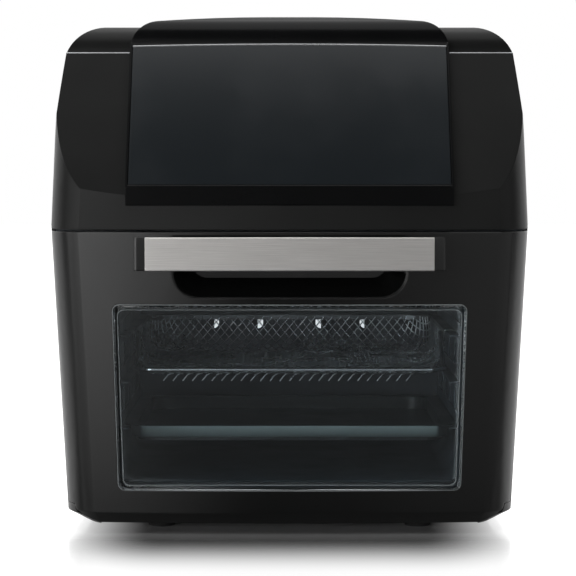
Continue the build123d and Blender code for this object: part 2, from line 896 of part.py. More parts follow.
def shelf_rail():
    """Right shelf rail: a pressed plate with a ledge at each level and openings between."""
    half = cavity_width / 2
    y0 = liner_front + rail_margin
    y1 = y0 + rail_length
    levels = rail_heights()
    rail = block(half - sheet, half, y0, y1, levels[0] - rail_margin, levels[-1] + rail_margin)
    for z in levels:
        rail += block(half - rail_ledge, half, y0, y1, z - sheet, z)
    window_step = rail_length / rail_windows
    for z in levels[:-1]:
        for column in range(rail_windows):
            y = y0 + window_step * (column + 0.5)
            half_length = (window_step - rail_margin) / 2
            low = z + rail_margin
            high = z + rail_pitch - rail_margin
            rail -= block(0, far, y - half_length, y + half_length, low, high)
    return rail


def rounded_tub(width, depth, corner, y_front, z0, z1):
    """Upright block with round corners, from its front edge back."""
    outline = RectangleRounded(width, depth, corner)
    return Pos(0, y_front + depth / 2, z0) * extrude(outline, amount=z1 - z0)


def drip_tray():
    """Shallow drawn tray whose flange rests on the lowest ledges, with a hem along its front."""
    rim = rail_lowest
    y0 = liner_front + rail_margin
    width = tray_rim_width - 2 * tray_flange
    depth = tray_depth - 2 * tray_flange
    y1 = y0 + tray_flange
    flange = rounded_tub(tray_rim_width, tray_depth, tray_corner, y0, rim, rim + sheet)
    pan = rounded_tub(width, depth, tray_corner - tray_flange / 2, y1, rim - tray_fall, rim + sheet)
    hollow = rounded_tub(width - 2 * sheet, depth - 2 * sheet, tray_corner - tray_flange / 2 - sheet,
                         y1 + sheet, rim - tray_fall + sheet, rim + part_gap * 2)
    reach = tray_rim_width - 2 * sheet
    hem = rounded_tub(tray_rim_width, tray_depth, tray_corner, y0, rim - tray_hem, rim)
    hem -= rounded_tub(reach, tray_depth - 2 * sheet, tray_corner - sheet, y0 + sheet, rim - tray_hem, rim)
    clear = cavity_width / 2 - rail_ledge - part_gap
    hem &= block(-clear, clear, y0, y0 + tray_corner, 0, far)
    return flange + pan + hem - hollow


def diamond(width, height):
    """Diamond opening of the stretched mesh."""
    return make_face(Polyline((-width / 2, 0), (0, -height / 2), (width / 2, 0), (0, height / 2), close=True))


def basket_sizes():
    """Outer width and depth of the basket's walls, and its front edge."""
    width = cavity_width - 2 * (rail_ledge + fit_gap)
    return width, tray_depth - basket_flange, liner_front + rail_margin


def basket_floor_z():
    """Height of the basket's floor below the top ledge."""
    return rail_heights()[-1] - basket_height


def basket_floor():
    """Stretched mesh floor of the basket: staggered diamonds in one sheet."""
    width, depth, y0 = basket_sizes()
    clear_x = width - 2 * (wall_sheet + mesh_margin)
    clear_y = depth - 2 * (wall_sheet + mesh_margin)
    step_x = clear_x / mesh_columns
    step_y = clear_y / mesh_rows
    hole = diamond(step_x - mesh_strand, step_y - mesh_strand)
    outline = RectangleRounded(width - 2 * wall_sheet, depth - 2 * wall_sheet, basket_corner - wall_sheet)
    holes = []
    for column in range(2 * mesh_columns - 1):
        for row in range(column % 2, 2 * mesh_rows - 1, 2):
            x = (column + 1) * step_x / 2 - clear_x / 2
            y = (row + 1) * step_y / 2 - clear_y / 2
            past_x = max(abs(x) - clear_x / 2 + basket_corner, 0)
            past_y = max(abs(y) - clear_y / 2 + basket_corner, 0)
            if past_x * past_y == 0 or math.hypot(past_x, past_y) < basket_corner - step_x / 2:
                holes.append(Pos(x, y) * hole)
    mesh = extrude(outline - holes, amount=wall_sheet)
    return Pos(0, y0 + depth / 2, basket_floor_z()) * mesh


def basket_walls():
    """Basket sides and back with diamonds, a flange on the top ledges and an apron along the open front."""
    width, depth, y0 = basket_sizes()
    z0 = basket_floor_z()
    z1 = rail_heights()[-1] + wall_sheet
    ring = rounded_tub(width, depth, basket_corner, y0, z0, z1)
    flange = rounded_tub(width + 2 * basket_flange, depth + basket_flange, basket_corner + basket_flange,
                         y0, z1 - wall_sheet, z1)
    ring += flange
    inner = rounded_tub(width - 2 * wall_sheet, depth - 2 * wall_sheet, basket_corner - wall_sheet,
                        y0 + wall_sheet, z0 - part_gap, z1 + part_gap)
    ring -= inner
    ring -= block(-far, far, y0 - part_gap, y0 + basket_corner, z0 + basket_front_height, far)
    apron = width / 2 - basket_corner
    ring += block(-apron, apron, y0, y0 + wall_sheet, z0 - basket_apron, z0)
    height = basket_height - 2 * mesh_margin
    hole = diamond(wall_pitch - mesh_strand, height)
    middle = z0 + basket_height / 2
    back_y = y0 + depth + part_gap
    back_count = int((width - 2 * basket_corner) / wall_pitch)
    for index in range(back_count):
        x = (index - (back_count - 1) / 2) * wall_pitch
        face = (Pos(x, 0, middle) * Rot(90, 0, 0) * hole).face()
        ring -= prism(face, back_y - basket_corner / 2, back_y)
    side_run = depth - 2 * basket_corner - wall_pitch
    side_count = int(side_run / wall_pitch)
    side_middle = y0 + basket_corner + wall_pitch + side_run / 2
    for index in range(side_count):
        y = side_middle + (index - (side_count - 1) / 2) * wall_pitch
        face = (Pos(0, y, middle) * Rot(0, 90, 0) * Rot(0, 0, 90) * hole).face()
        ring -= extrude(face, amount=width / 2 + part_gap, dir=(1, 0, 0), both=True)
    return ring


def basket_wire():
    """Bright wire along the basket's low front, bent up at both ends to the flange."""
    width, depth, y0 = basket_sizes()
    z0 = basket_floor_z() + basket_front_height + wire_radius
    z1 = rail_heights()[-1] - wire_radius
    half = width / 2 - wall_sheet - wire_radius
    y1 = y0 + basket_corner
    path = FilletPolyline((-half, y1 + wire_run, z1), (-half, y1, z0), (-half, y0 + wire_radius, z0),
                          (half, y0 + wire_radius, z0), (half, y1, z0), (half, y1 + wire_run, z1),
                          radius=[wire_bend, wire_corner, wire_corner, wire_bend])
    start = Plane(origin=path @ 0, z_dir=path % 0)
    return sweep(start * Circle(wire_radius), path=path)


def heater_guard():
    """Slotted disc under the fan's throat."""
    z1 = cavity_ceiling
    disc = rod_z(throat_radius + guard_lap, z1 - sheet, z1, 0, axis_y)
    slots = []
    for index in range(guard_slots):
        turn = 360 / guard_slots * index
        inner = guard_inner if index % 2 else guard_hub
        length = throat_radius - guard_lap - inner
        slot = Pos(inner + length / 2, 0, 0) * Box(length, guard_slot_width, far)
        slots.append(Pos(0, axis_y, z1) * Rot(0, 0, turn) * slot)
    return disc - slots


def bowl_top():
    """Height of the fan bowl's roof."""
    return cavity_ceiling + sheet + bowl_height


def coil_path():
    """Two turns of the heater in one plane: in, round, back round the other way and out."""
    legs_y = bowl_radius + coil_leg
    inner = coil_radius - 2 * coil_step
    first = math.radians(coil_first)
    last = math.acos((coil_exit_x + coil_bend) / (inner + coil_bend))
    leg_x = coil_radius * math.cos(first) - coil_bend * (1 - math.cos(first))
    leg_y = (coil_radius + coil_bend) * math.sin(first)
    entry = Line((leg_x, legs_y), (leg_x, leg_y))
    turn_in = JernArc(entry @ 1, entry % 1, coil_bend, coil_first)
    outer = JernArc(turn_in @ 1, turn_in % 1, coil_radius, -180 - 2 * coil_first)
    bend = JernArc(outer @ 1, outer % 1, coil_step, -180)
    inside = JernArc(bend @ 1, bend % 1, inner, 180 + coil_first + math.degrees(last))
    turn_out = JernArc(inside @ 1, inside % 1, coil_bend, -math.degrees(last))
    leave = Line(turn_out @ 1, ((turn_out @ 1).X, legs_y))
    return [entry, turn_in, outer, bend, inside, turn_out, leave]


def heating_element():
    """Tubular heater, bent from one length, whose two legs leave through the bowl."""
    edges = coil_path()
    start = Plane(origin=edges[0] @ 0, z_dir=edges[0] % 0)
    tube = sweep(start * Circle(tube_radius), path=Wire([part.edge() for part in edges]))
    return Pos(0, axis_y, coil_height) * tube


def coil_legs():
    """X of the heater's two legs."""
    edges = coil_path()
    return [(edges[0] @ 0).X, (edges[-1] @ 1).X]


def element_clips():
    """Three hangers from the bowl's roof that carry the heater."""
    roof = bowl_top() - sheet
    z0 = coil_height + tube_radius
    clips = []
    half = clip_width / 2
    for turn in clip_turns:
        strap = block(coil_radius - half, coil_radius + half, -half, half, z0, roof)
        clips.append(Pos(0, axis_y, 0) * Rot(0, 0, turn) * strap)
    return Compound(clips)


def fan_bowl():
    """Spun bowl round the fan and the heater, with a flange, three bosses and a throat for the shaft."""
    z0 = cavity_ceiling + sheet
    bowl = rod_z(bowl_radius, z0, bowl_top(), 0, axis_y)
    bowl = chamfer(bowl.edges().group_by(Axis.Z)[-1], bowl_shoulder)
    hollow = rod_z(bowl_radius - sheet, z0 - sheet, bowl_top() - sheet, 0, axis_y)
    hollow = chamfer(hollow.edges().group_by(Axis.Z)[-1], bowl_shoulder)
    bowl += rod_z(bowl_radius + bowl_flange, z0, z0 + sheet, 0, axis_y)
    boss = rod_z(boss_radius, bowl_top(), bowl_top() + shield_gap, bowl_boss, 0)
    bowl += [Pos(0, axis_y, 0) * Rot(0, 0, turn) * boss for turn in bowl_boss_turns]
    bowl -= hollow
    bowl -= rod_z(shaft_radius + shaft_play, 0, far, 0, axis_y)
    return bowl - [rod_y(tube_radius + fit_gap, axis_y, far, x, coil_height) for x in coil_legs()]


def heat_shield():
    """Flat shield over the bowl, under the motor and the boards."""
    z0 = bowl_top() + shield_gap
    half = shield_half()
    plate = block(-half, half, axis_y - shield_front, shield_end, z0, z0 + sheet)
    lips = block(-half, half, axis_y - shield_front, shield_end, z0, z0 + shield_lip)
    lips -= block(sheet - half, half - sheet, -far, far, 0, far)
    return plate + lips - rod_z(bearing_radius + shaft_play, 0, far, 0, axis_y)


def shield_half():
    """Half width of the heat shield."""
    return shoulder_width / 2 - shield_side


def shield_top():
    """Upper face of the heat shield."""
    return bowl_top() + shield_gap + sheet


def core_foot():
    """Lower face of the motor's core."""
    return shield_top() + motor_stand + strap_thickness


def bracket_strap(plate_low, legs_low):
    """Bent strap across the motor, with a leg at each end and a hole for its bearing."""
    half = core_size / 2
    width = strap_width / 2
    plate_high = plate_low + strap_thickness
    strap = block(-half, half, -width, width, plate_low, plate_high)
    leg = block(half - strap_thickness, half, -width, width, legs_low, plate_high)
    foot = block(half, half + strap_foot, -width, width, legs_low, legs_low + strap_thickness)
    for piece in both_sides(leg) + both_sides(foot):
        strap += piece
    strap -= rod_z(bearing_radius, 0, far, 0, 0)
    return Pos(0, axis_y, 0) * strap


def motor_bracket():
    """Strap under the motor, standing on the heat shield."""
    return bracket_strap(shield_top() + motor_stand, shield_top())


def motor_cap():
    """Strap over the motor that holds the upper bearing."""
    core_top = core_foot() + core_height
    return bracket_strap(core_top + motor_stand, core_top)


def motor_core():
    """Laminated core with a round bore and a window for its winding."""
    half = core_size / 2 + strap_foot
    core = block(-half, half, -core_depth, core_tail, core_foot(), core_foot() + core_height)
    core -= rod_z(rotor_radius + air_gap, 0, far, 0, 0)
    core -= block(-winding_half, winding_half, core_window, core_tail - core_leg, 0, far)
    return Pos(0, axis_y, 0) * core


def motor_winding():
    """Winding round the core's rear leg, on its bobbin."""
    y0 = core_tail - core_leg
    z0 = core_foot()
    z1 = z0 + core_height
    half = winding_half - fit_gap
    y1 = core_tail + winding_build
    turns = block(-half, half, y0 - winding_build, y1, z0 - winding_build, z1 + winding_build)
    turns = fillet(turns.edges().filter_by(Axis.X), winding_round)
    return Pos(0, axis_y, 0) * (turns - block(-far, far, y0, core_tail, z0, z1))


def bearing_places():
    """Lower faces of the two bearings, each flush with the strap's side that faces the core."""
    return [core_foot() - bearing_height, core_foot() + core_height + motor_stand]


def motor_bearings():
    """Two plain bushes that carry the shaft."""
    rings = []
    for z in bearing_places():
        ring = rod_z(bearing_radius, z, z + bearing_height, 0, axis_y)
        rings.append(ring - rod_z(shaft_radius + running_gap, z - part_gap, far, 0, axis_y))
    return Compound(rings)


def cooling_low():
    """Lower face of the cooling fan's hub."""
    return bearing_places()[1] + bearing_height + part_gap


def motor_shaft():
    """Shaft through both bearings, from the hot air fan up to the cooling fan."""
    low = fan_low - nut_height - part_gap
    return rod_z(shaft_radius, low, cooling_low() + cooling_depth, 0, axis_y)


def rotor_core():
    """Rotor on the shaft, turning in the core's bore."""
    z0 = core_foot() + part_gap
    ring = rod_z(rotor_radius, z0, z0 + core_height - 2 * part_gap, 0, axis_y)
    return ring - rod_z(shaft_radius, 0, far, 0, axis_y)


def bladed_wheel(radius, hub, low, depth, blades, pitch):
    """Fan wheel: hub, back plate and a ring of slanted blades."""
    wheel = rod_z(hub, low, low + depth, 0, 0)
    wheel += rod_z(radius - blade_tip, low + depth - sheet, low + depth, 0, 0)
    length = radius - hub + part_gap
    for index in range(blades):
        blade = Rot(0, 0, pitch) * Box(length, sheet, depth)
        place = Pos(hub - part_gap + length / 2, 0, low + depth / 2)
        wheel += Rot(0, 0, 360 / blades * index) * place * blade
    wheel -= rod_z(shaft_radius, 0, far, 0, 0)
    return Pos(0, axis_y, 0) * wheel


def hot_air_fan():
    """Wheel that drives the hot air down round the heater."""
    return bladed_wheel(fan_radius, fan_hub, fan_low, fan_depth, blade_count, blade_slant)


def cooling_fan():
    """Small wheel on top of the motor that cools the electronics."""
    return bladed_wheel(cooling_radius, fan_hub, cooling_low(), cooling_depth, cooling_blades, blade_slant)


def fan_nut():
    """Nut that holds the hot air fan on its shaft."""
    nut = Pos(0, axis_y, fan_low - nut_height) * extrude(RegularPolygon(nut_radius, 6), amount=nut_height)
    return nut - rod_z(shaft_radius, 0, far, 0, axis_y)


def power_board():
    """Power board on pillars over the heat shield, with relay, transformer and capacitors."""
    z0 = shield_top() + pillar_height
    z1 = z0 + board_thickness
    x1 = shield_half() - power_side
    x0 = x1 - power_width
    y1 = shield_end - power_tail
    y0 = y1 - power_depth
    board = block(x0, x1, y0, y1, z0, z1)
    inset = boss_radius + part_gap
    relay_x = x0 + inset
    relay_y = (y0 + y1 - relay_width) / 2
    board += block(relay_x, relay_x + relay_length, relay_y, relay_y + relay_width, z1, z1 + relay_height)
    half = transformer_size / 2
    transformer = Box(transformer_size, transformer_size, transformer_height)
    board += Pos(x1 - inset - half, (y0 + y1) / 2, z1 + transformer_height / 2) * transformer
    middle = (x0 + x1) / 2
    for y in (y0 + inset + capacitor_radius, y1 - inset - capacitor_radius):
        board += rod_z(capacitor_radius, z1, z1 + transformer_height, middle, y)
    for x in (x0 + inset, x1 - inset):
        for y in (y0 + inset, y1 - inset):
            board += rod_z(boss_radius, shield_top(), z0, x, y)
    return board


def thermal_cutout():
    """Safety cut-out on the cavity's roof, with its two tabs."""
    z0 = cavity_ceiling + sheet
    y = liner_front + cutout_inset
    body = rod_z(cutout_radius, z0, z0 + cutout_height, cutout_x, y)
    tab = Box(tab_width, board_thickness / 2, cutout_height * 2)
    tabs = [Pos(cutout_x + side * cutout_radius / 2, y, z0 + cutout_height) * tab for side in (-1, 1)]
    return body + tabs


def temperature_probe():
    """Probe through the cavity's back wall, with its flange outside."""
    y1 = liner_back + sheet
    rod = rod_y(probe_radius, liner_back - probe_reach, y1, probe_x, probe_z)
    return rod + rod_y(probe_flange, y1, y1 + shell_wall, probe_x, probe_z)


def terminal_block():
    """Mains terminal block on the inside of the back panel, above the gland."""
    y1 = back - shell_wall
    y0 = y1 - terminal_depth
    z0 = gland_z + gland_flange + part_gap
    z1 = z0 + terminal_height
    x0 = gland_x - terminal_width / 2
    body = block(x0, x0 + terminal_width, y0, y1, z0, z1)
    step = terminal_width / terminal_poles
    wells = [rod_z(terminal_well, (z0 + z1) / 2, far, x0 + step * (pole + 0.5), (y0 + y1) / 2)
             for pole in range(terminal_poles)]
    return body - wells


def door_switch():
    """Switch behind the front frame, with a hole for the door's striker."""
    half = switch_width / 2
    body = block(striker_x - half, striker_x + half, liner_front, liner_front + switch_depth,
                 striker_z - switch_height / 2, striker_z + switch_height / 2)
    end = liner_front + striker_reach + part_gap
    return body - rod_y(striker_radius + striker_play, -far, end, striker_x, striker_z)


os.makedirs("parts", exist_ok=True)
write("upper_housing", upper_housing())
write("control_hood", control_hood())
write("touch_panel", touch_panel())
write("control_board", control_board())
right_panel, left_panel = both_sides(side_panel())
write("side_panel_right", right_panel)
write("side_panel_left", left_panel)
write("back_panel", back_panel())
write("back_screws", back_screws())
write("cord_gland", cord_gland())
write("base_pan", base_pan())
write("feet", feet())
write("hinge_brackets", hinge_brackets())
write("cavity_front_frame", cavity_front_frame())
write("cavity_liner", cavity_liner())
right_rail, left_rail = both_sides(shelf_rail())
write("shelf_rail_right", right_rail)
write("shelf_rail_left", left_rail)
write("drip_tray", drip_tray())
write("basket_floor", basket_floor())
write("basket_walls", basket_walls())
write("basket_wire", basket_wire())
write("heater_guard", heater_guard())
write("heating_element", heating_element())
write("element_clips", element_clips())
write("fan_bowl", fan_bowl())
write("heat_shield", heat_shield())
write("motor_bracket", motor_bracket())
write("motor_cap", motor_cap())
write("motor_core", motor_core())
write("motor_winding", motor_winding())
write("motor_bearings", motor_bearings())
write("motor_shaft", motor_shaft())
write("rotor_core", rotor_core())
write("hot_air_fan", hot_air_fan())
write("fan_nut", fan_nut())
write("cooling_fan", cooling_fan())
write("power_board", power_board())
write("thermal_cutout", thermal_cutout())
write("temperature_probe", temperature_probe())
write("terminal_block", terminal_block())
write("door_switch", door_switch())
write("door_panel", door_panel())
write("door_window", door_window())
write("door_inner_frame", door_inner_frame())
write("door_inner_glass", door_inner_glass())
write("door_seal", door_seal())
write("door_striker", door_striker())
write("hinge_pins", hinge_pins())
write("handle_body", handle_body())
write("handle_plate", handle_plate())
write("handle_screws", handle_screws())
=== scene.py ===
import json
import math

import bmesh
import bpy
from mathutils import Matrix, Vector


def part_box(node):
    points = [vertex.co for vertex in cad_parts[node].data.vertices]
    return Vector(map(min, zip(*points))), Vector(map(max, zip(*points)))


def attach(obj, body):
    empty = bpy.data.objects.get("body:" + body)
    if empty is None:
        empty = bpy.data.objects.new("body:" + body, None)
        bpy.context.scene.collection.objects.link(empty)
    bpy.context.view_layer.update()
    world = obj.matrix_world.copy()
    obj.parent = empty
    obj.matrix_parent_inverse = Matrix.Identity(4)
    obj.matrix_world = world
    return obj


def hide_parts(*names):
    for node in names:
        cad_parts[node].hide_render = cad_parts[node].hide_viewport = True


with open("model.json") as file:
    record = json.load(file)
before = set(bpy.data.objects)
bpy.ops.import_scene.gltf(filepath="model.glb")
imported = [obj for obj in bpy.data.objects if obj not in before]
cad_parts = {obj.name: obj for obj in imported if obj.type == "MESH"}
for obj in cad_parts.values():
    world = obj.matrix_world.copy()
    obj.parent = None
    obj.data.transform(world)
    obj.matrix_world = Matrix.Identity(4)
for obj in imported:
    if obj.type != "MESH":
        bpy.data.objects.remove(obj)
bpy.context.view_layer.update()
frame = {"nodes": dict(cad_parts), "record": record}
nodes = frame["nodes"]
print("frame loaded:", len(nodes), "nodes")


# shader node groups shared by the finishes

def newGroup(name, inputs, outputs):
    tree = bpy.data.node_groups.new(name, "ShaderNodeTree")
    for label, kind, value in inputs:
        socket = tree.interface.new_socket(label, in_out="INPUT", socket_type=kind)
        socket.default_value = value
    for label, kind in outputs:
        tree.interface.new_socket(label, in_out="OUTPUT", socket_type=kind)
    return tree, tree.nodes.new("NodeGroupInput"), tree.nodes.new("NodeGroupOutput")


def addNode(tree, kind, values=None, **settings):
    node = tree.nodes.new(kind)
    for key, value in settings.items():
        setattr(node, key, value)
    for key, value in (values or {}).items():
        node.inputs[key].default_value = value
    return node


def noiseNode(tree, vector, scale, detail=3.0, roughness=0.55):
    node = addNode(tree, "ShaderNodeTexNoise", {"Detail": detail, "Roughness": roughness})
    tree.links.new(vector, node.inputs["Vector"])
    if isinstance(scale, (int, float)):
        node.inputs["Scale"].default_value = scale
    else:
        tree.links.new(scale, node.inputs["Scale"])
    return node.outputs["Fac"]


def rangeNode(tree, value, low, high, toLow, toHigh):
    node = addNode(tree, "ShaderNodeMapRange", {"From Min": low, "From Max": high, "To Min": toLow, "To Max": toHigh})
    tree.links.new(value, node.inputs["Value"])
    return node.outputs["Result"]


def mathNode(tree, operation, *values):
    node = addNode(tree, "ShaderNodeMath", operation=operation)
    for index, value in enumerate(values):
        if isinstance(value, (int, float)):
            node.inputs[index].default_value = value
        else:
            tree.links.new(value, node.inputs[index])
    return node.outputs["Value"]


# where each noise goes from none to full
maskSpans = {
    "mottle": (0.3, 0.7), "dust": (0.66, 0.8), "smear": (0.45, 0.75), "scratch": (0.68, 0.76), "streak": (0.3, 0.7),
    "cloud": (0.35, 0.7), "sheen": (0.25, 0.75), "paper": (0.3, 0.7),
}
speckShare = 0.35  # dust is coarser than the grain


def maskNode(tree, value, span, toLow=0.0, toHigh=1.0):
    return rangeNode(tree, value, *maskSpans[span], toLow, toHigh)


def makeMouldSkin():
    tree, given, made = newGroup(
        "mouldSkin",
        [("Vector", "NodeSocketVector", (0, 0, 0)), ("Grain", "NodeSocketFloat", 1800.0),
         ("Flow", "NodeSocketFloat", 14.0), ("Dust", "NodeSocketFloat", 0.3)],
        [("Height", "NodeSocketFloat"), ("Mottle", "NodeSocketFloat"), ("Dust", "NodeSocketFloat")])
    vector = given.outputs["Vector"]
    fine = noiseNode(tree, vector, given.outputs["Grain"], 2.0, 0.6)
    flow = noiseNode(tree, vector, given.outputs["Flow"], 4.0, 0.5)
    specks = noiseNode(tree, vector, mathNode(tree, "MULTIPLY", given.outputs["Grain"], speckShare), 2.0, 0.7)
    dust = mathNode(tree, "MULTIPLY", maskNode(tree, specks, "dust"), given.outputs["Dust"])
    tree.links.new(fine, made.inputs["Height"])
    tree.links.new(flow, made.inputs["Mottle"])
    tree.links.new(dust, made.inputs["Dust"])
    return tree


def makeHandlingMarks():
    tree, given, made = newGroup(
        "handlingMarks",
        [("Vector", "NodeSocketVector", (0, 0, 0)), ("Smear", "NodeSocketFloat", 9.0),
         ("Scratch", "NodeSocketFloat", 60.0)],
        [("Smear", "NodeSocketFloat"), ("Scratch", "NodeSocketFloat")])
    vector = given.outputs["Vector"]
    smear = noiseNode(tree, vector, given.outputs["Smear"], 5.0, 0.6)
    tilt = addNode(tree, "ShaderNodeMapping", {"Rotation": (0.3, 0.6, 0.5), "Scale": (1.0, 22.0, 1.0)})
    tree.links.new(vector, tilt.inputs["Vector"])
    lines = noiseNode(tree, tilt.outputs["Vector"], given.outputs["Scratch"], 2.0, 0.5)
    tree.links.new(maskNode(tree, smear, "smear"), made.inputs["Smear"])
    tree.links.new(maskNode(tree, lines, "scratch"), made.inputs["Scratch"])
    return tree


def makeBrushGrain():
    tree, given, made = newGroup(
        "brushGrain",
        [("Vector", "NodeSocketVector", (0, 0, 0)), ("Pitch", "NodeSocketFloat", 2600.0),
         ("Stretch", "NodeSocketFloat", 0.012)],
        [("Streak", "NodeSocketFloat"), ("Cloud", "NodeSocketFloat")])
    scale = addNode(tree, "ShaderNodeCombineXYZ", {"Y": 1.0, "Z": 1.0})
    tree.links.new(given.outputs["Stretch"], scale.inputs["X"])
    stretch = addNode(tree, "ShaderNodeVectorMath", operation="MULTIPLY")
    tree.links.new(given.outputs["Vector"], stretch.inputs[0])
    tree.links.new(scale.outputs["Vector"], stretch.inputs[1])
    streak = noiseNode(tree, stretch.outputs["Vector"], given.outputs["Pitch"], 3.0, 0.65)
    cloud = noiseNode(tree, given.outputs["Vector"], 24.0, 3.0, 0.5)
    tree.links.new(streak, made.inputs["Streak"])
    tree.links.new(cloud, made.inputs["Cloud"])
    return tree


mouldSkin = makeMouldSkin()
handlingMarks = makeHandlingMarks()
brushGrain = makeBrushGrain()
print("shader groups built")


# finishes

def newMaterial(name, plain):
    material = bpy.data.materials.new(name)
    material.use_nodes = True
    tree = material.node_tree
    shader = tree.nodes["Principled BSDF"]
    for key, value in plain.items():
        shader.inputs[key].default_value = value
    place = addNode(tree, "ShaderNodeTexCoord").outputs["Object"]
    return material, tree, shader, place


def useGroup(tree, group, vector, **values):
    node = addNode(tree, "ShaderNodeGroup", node_tree=group)
    tree.links.new(vector, node.inputs["Vector"])
    for key, value in values.items():
        node.inputs[key].default_value = value
    return node.outputs


def mixColours(tree, factor, first, second):
    node = addNode(tree, "ShaderNodeMix", data_type="RGBA")
    tree.links.new(factor, node.inputs["Factor"])
    for index, value in ((6, first), (7, second)):
        if isinstance(value, tuple):
            node.inputs[index].default_value = (*value, 1.0)
        else:
            tree.links.new(value, node.inputs[index])
    return node.outputs[2]


def addBump(tree, shader, height, strength, distance, edge):
    bump = addNode(tree, "ShaderNodeBump", {"Strength": strength, "Distance": distance})
    rounded = addNode(tree, "ShaderNodeBevel", {"Radius": edge}, samples=4)  # eased edges
    tree.links.new(rounded.outputs["Normal"], bump.inputs["Normal"])
    tree.links.new(height, bump.inputs["Height"])
    tree.links.new(bump.outputs["Normal"], shader.inputs["Normal"])


def addSmear(tree, shader, smear, look):
    rough = rangeNode(tree, smear, 0.0, 1.0, look["rough"], look["dullRough"])
    tree.links.new(rough, shader.inputs["Roughness"])


def mouldedPlastic(name, look):
    material, tree, shader, place = newMaterial(name, look["plain"])
    skin = useGroup(tree, mouldSkin, place, Grain=look["grain"], Flow=look["flow"], Dust=look["dust"])
    marks = useGroup(tree, handlingMarks, place, Smear=look["smear"], Scratch=look["scratch"])
    tone = mixColours(tree, maskNode(tree, skin["Mottle"], "mottle"), look["dark"], look["light"])
    tone = mixColours(tree, skin["Dust"], tone, look["lint"])
    tree.links.new(tone, shader.inputs["Base Color"])
    rough = mathNode(tree, "MULTIPLY_ADD", marks["Smear"], look["smearRough"], look["rough"])
    rough = mathNode(tree, "ADD", rough, mathNode(tree, "MULTIPLY", marks["Scratch"], look["scratchRough"]))
    tree.links.new(rough, shader.inputs["Roughness"])
    addBump(tree, shader, skin["Height"], look["bump"], look["depth"], look["edge"])
    return material


satinLook = {
    "plain": {"IOR": 1.24}, "dark": (0.0086, 0.0089, 0.0087), "light": (0.0116, 0.0119, 0.0116),
    "lint": (0.03, 0.03, 0.029), "rough": 0.3, "smearRough": 0.06, "scratchRough": 0.03, "grain": 2600.0,
    "flow": 18.0, "dust": 0.25, "smear": 11.0, "scratch": 50.0, "bump": 0.22, "depth": 0.00012, "edge": 0.0009,
}
glossLook = {
    "plain": {"IOR": 1.5}, "dark": (0.0034, 0.0036, 0.0035), "light": (0.0048, 0.005, 0.0049),
    "lint": (0.06, 0.06, 0.06), "rough": 0.085, "smearRough": 0.05, "scratchRough": 0.03, "grain": 900.0,
    "flow": 8.0, "dust": 0.12, "smear": 8.0, "scratch": 46.0, "bump": 0.05, "depth": 0.00008, "edge": 0.0014,
}
hoodLook = {
    "plain": {"IOR": 1.24}, "dark": (0.0026, 0.0028, 0.003), "light": (0.0038, 0.004, 0.0043),
    "lint": (0.03, 0.03, 0.03), "rough": 0.2, "smearRough": 0.06, "scratchRough": 0.03, "grain": 2600.0,
    "flow": 18.0, "dust": 0.2, "smear": 11.0, "scratch": 50.0, "bump": 0.14, "depth": 0.0001, "edge": 0.0009,
}
panelLook = {
    "plain": {"IOR": 1.5}, "dark": (0.007, 0.0098, 0.0122), "light": (0.0088, 0.0122, 0.015),
    "lint": (0.05, 0.055, 0.06), "rough": 0.16, "smearRough": 0.06, "scratchRough": 0.02, "grain": 700.0,
    "flow": 6.0, "dust": 0.1, "smear": 12.0, "scratch": 40.0, "bump": 0.03, "depth": 0.00006, "edge": 0.0008,
}
whiteLook = {
    "plain": {"IOR": 1.48}, "dark": (0.62, 0.6, 0.55), "light": (0.74, 0.73, 0.69), "lint": (0.4, 0.38, 0.34),
    "rough": 0.42, "smearRough": 0.08, "scratchRough": 0.05, "grain": 1500.0, "flow": 30.0, "dust": 0.4,
    "smear": 20.0, "scratch": 60.0, "bump": 0.15, "depth": 0.0001, "edge": 0.0004,
}
rubberLook = {
    "plain": {"IOR": 1.45}, "dark": (0.012, 0.012, 0.012), "light": (0.02, 0.02, 0.02), "lint": (0.09, 0.088, 0.08),
    "rough": 0.72, "smearRough": 0.1, "scratchRough": 0.03, "grain": 1300.0, "flow": 40.0, "dust": 0.6,
    "smear": 25.0, "scratch": 70.0, "bump": 0.35, "depth": 0.0002, "edge": 0.0008,
}
sealLook = {
    "plain": {"IOR": 1.42}, "dark": (0.05, 0.05, 0.054), "light": (0.075, 0.076, 0.08), "lint": (0.15, 0.14, 0.13),
    "rough": 0.6, "smearRough": 0.08, "scratchRough": 0.02, "grain": 1100.0, "flow": 30.0, "dust": 0.35,
    "smear": 22.0, "scratch": 60.0, "bump": 0.25, "depth": 0.00015, "edge": 0.0008,
}
# painted highlight: the pale grey of the lines round the pane, which stand in for glints on its edges
paneGlintLook = {
    "plain": {"IOR": 1.42}, "dark": (0.18, 0.195, 0.2), "light": (0.25, 0.27, 0.275), "lint": (0.14, 0.14, 0.14),
    "rough": 0.4, "smearRough": 0.08, "scratchRough": 0.02, "grain": 1100.0, "flow": 30.0, "dust": 0.2,
    "smear": 22.0, "scratch": 60.0, "bump": 0.1, "depth": 0.00008, "edge": 0.0002,
}
satinBlack = mouldedPlastic("satinBlack", satinLook)
hoodBlack = mouldedPlastic("hoodBlack", hoodLook)
glossBlack = mouldedPlastic("glossBlack", glossLook)
panelGloss = mouldedPlastic("panelGloss", panelLook)
whitePlastic = mouldedPlastic("whitePlastic", whiteLook)
softRubber = mouldedPlastic("softRubber", rubberLook)
sealSilicone = mouldedPlastic("sealSilicone", sealLook)
glazingBead = mouldedPlastic("glazingBead", paneGlintLook)


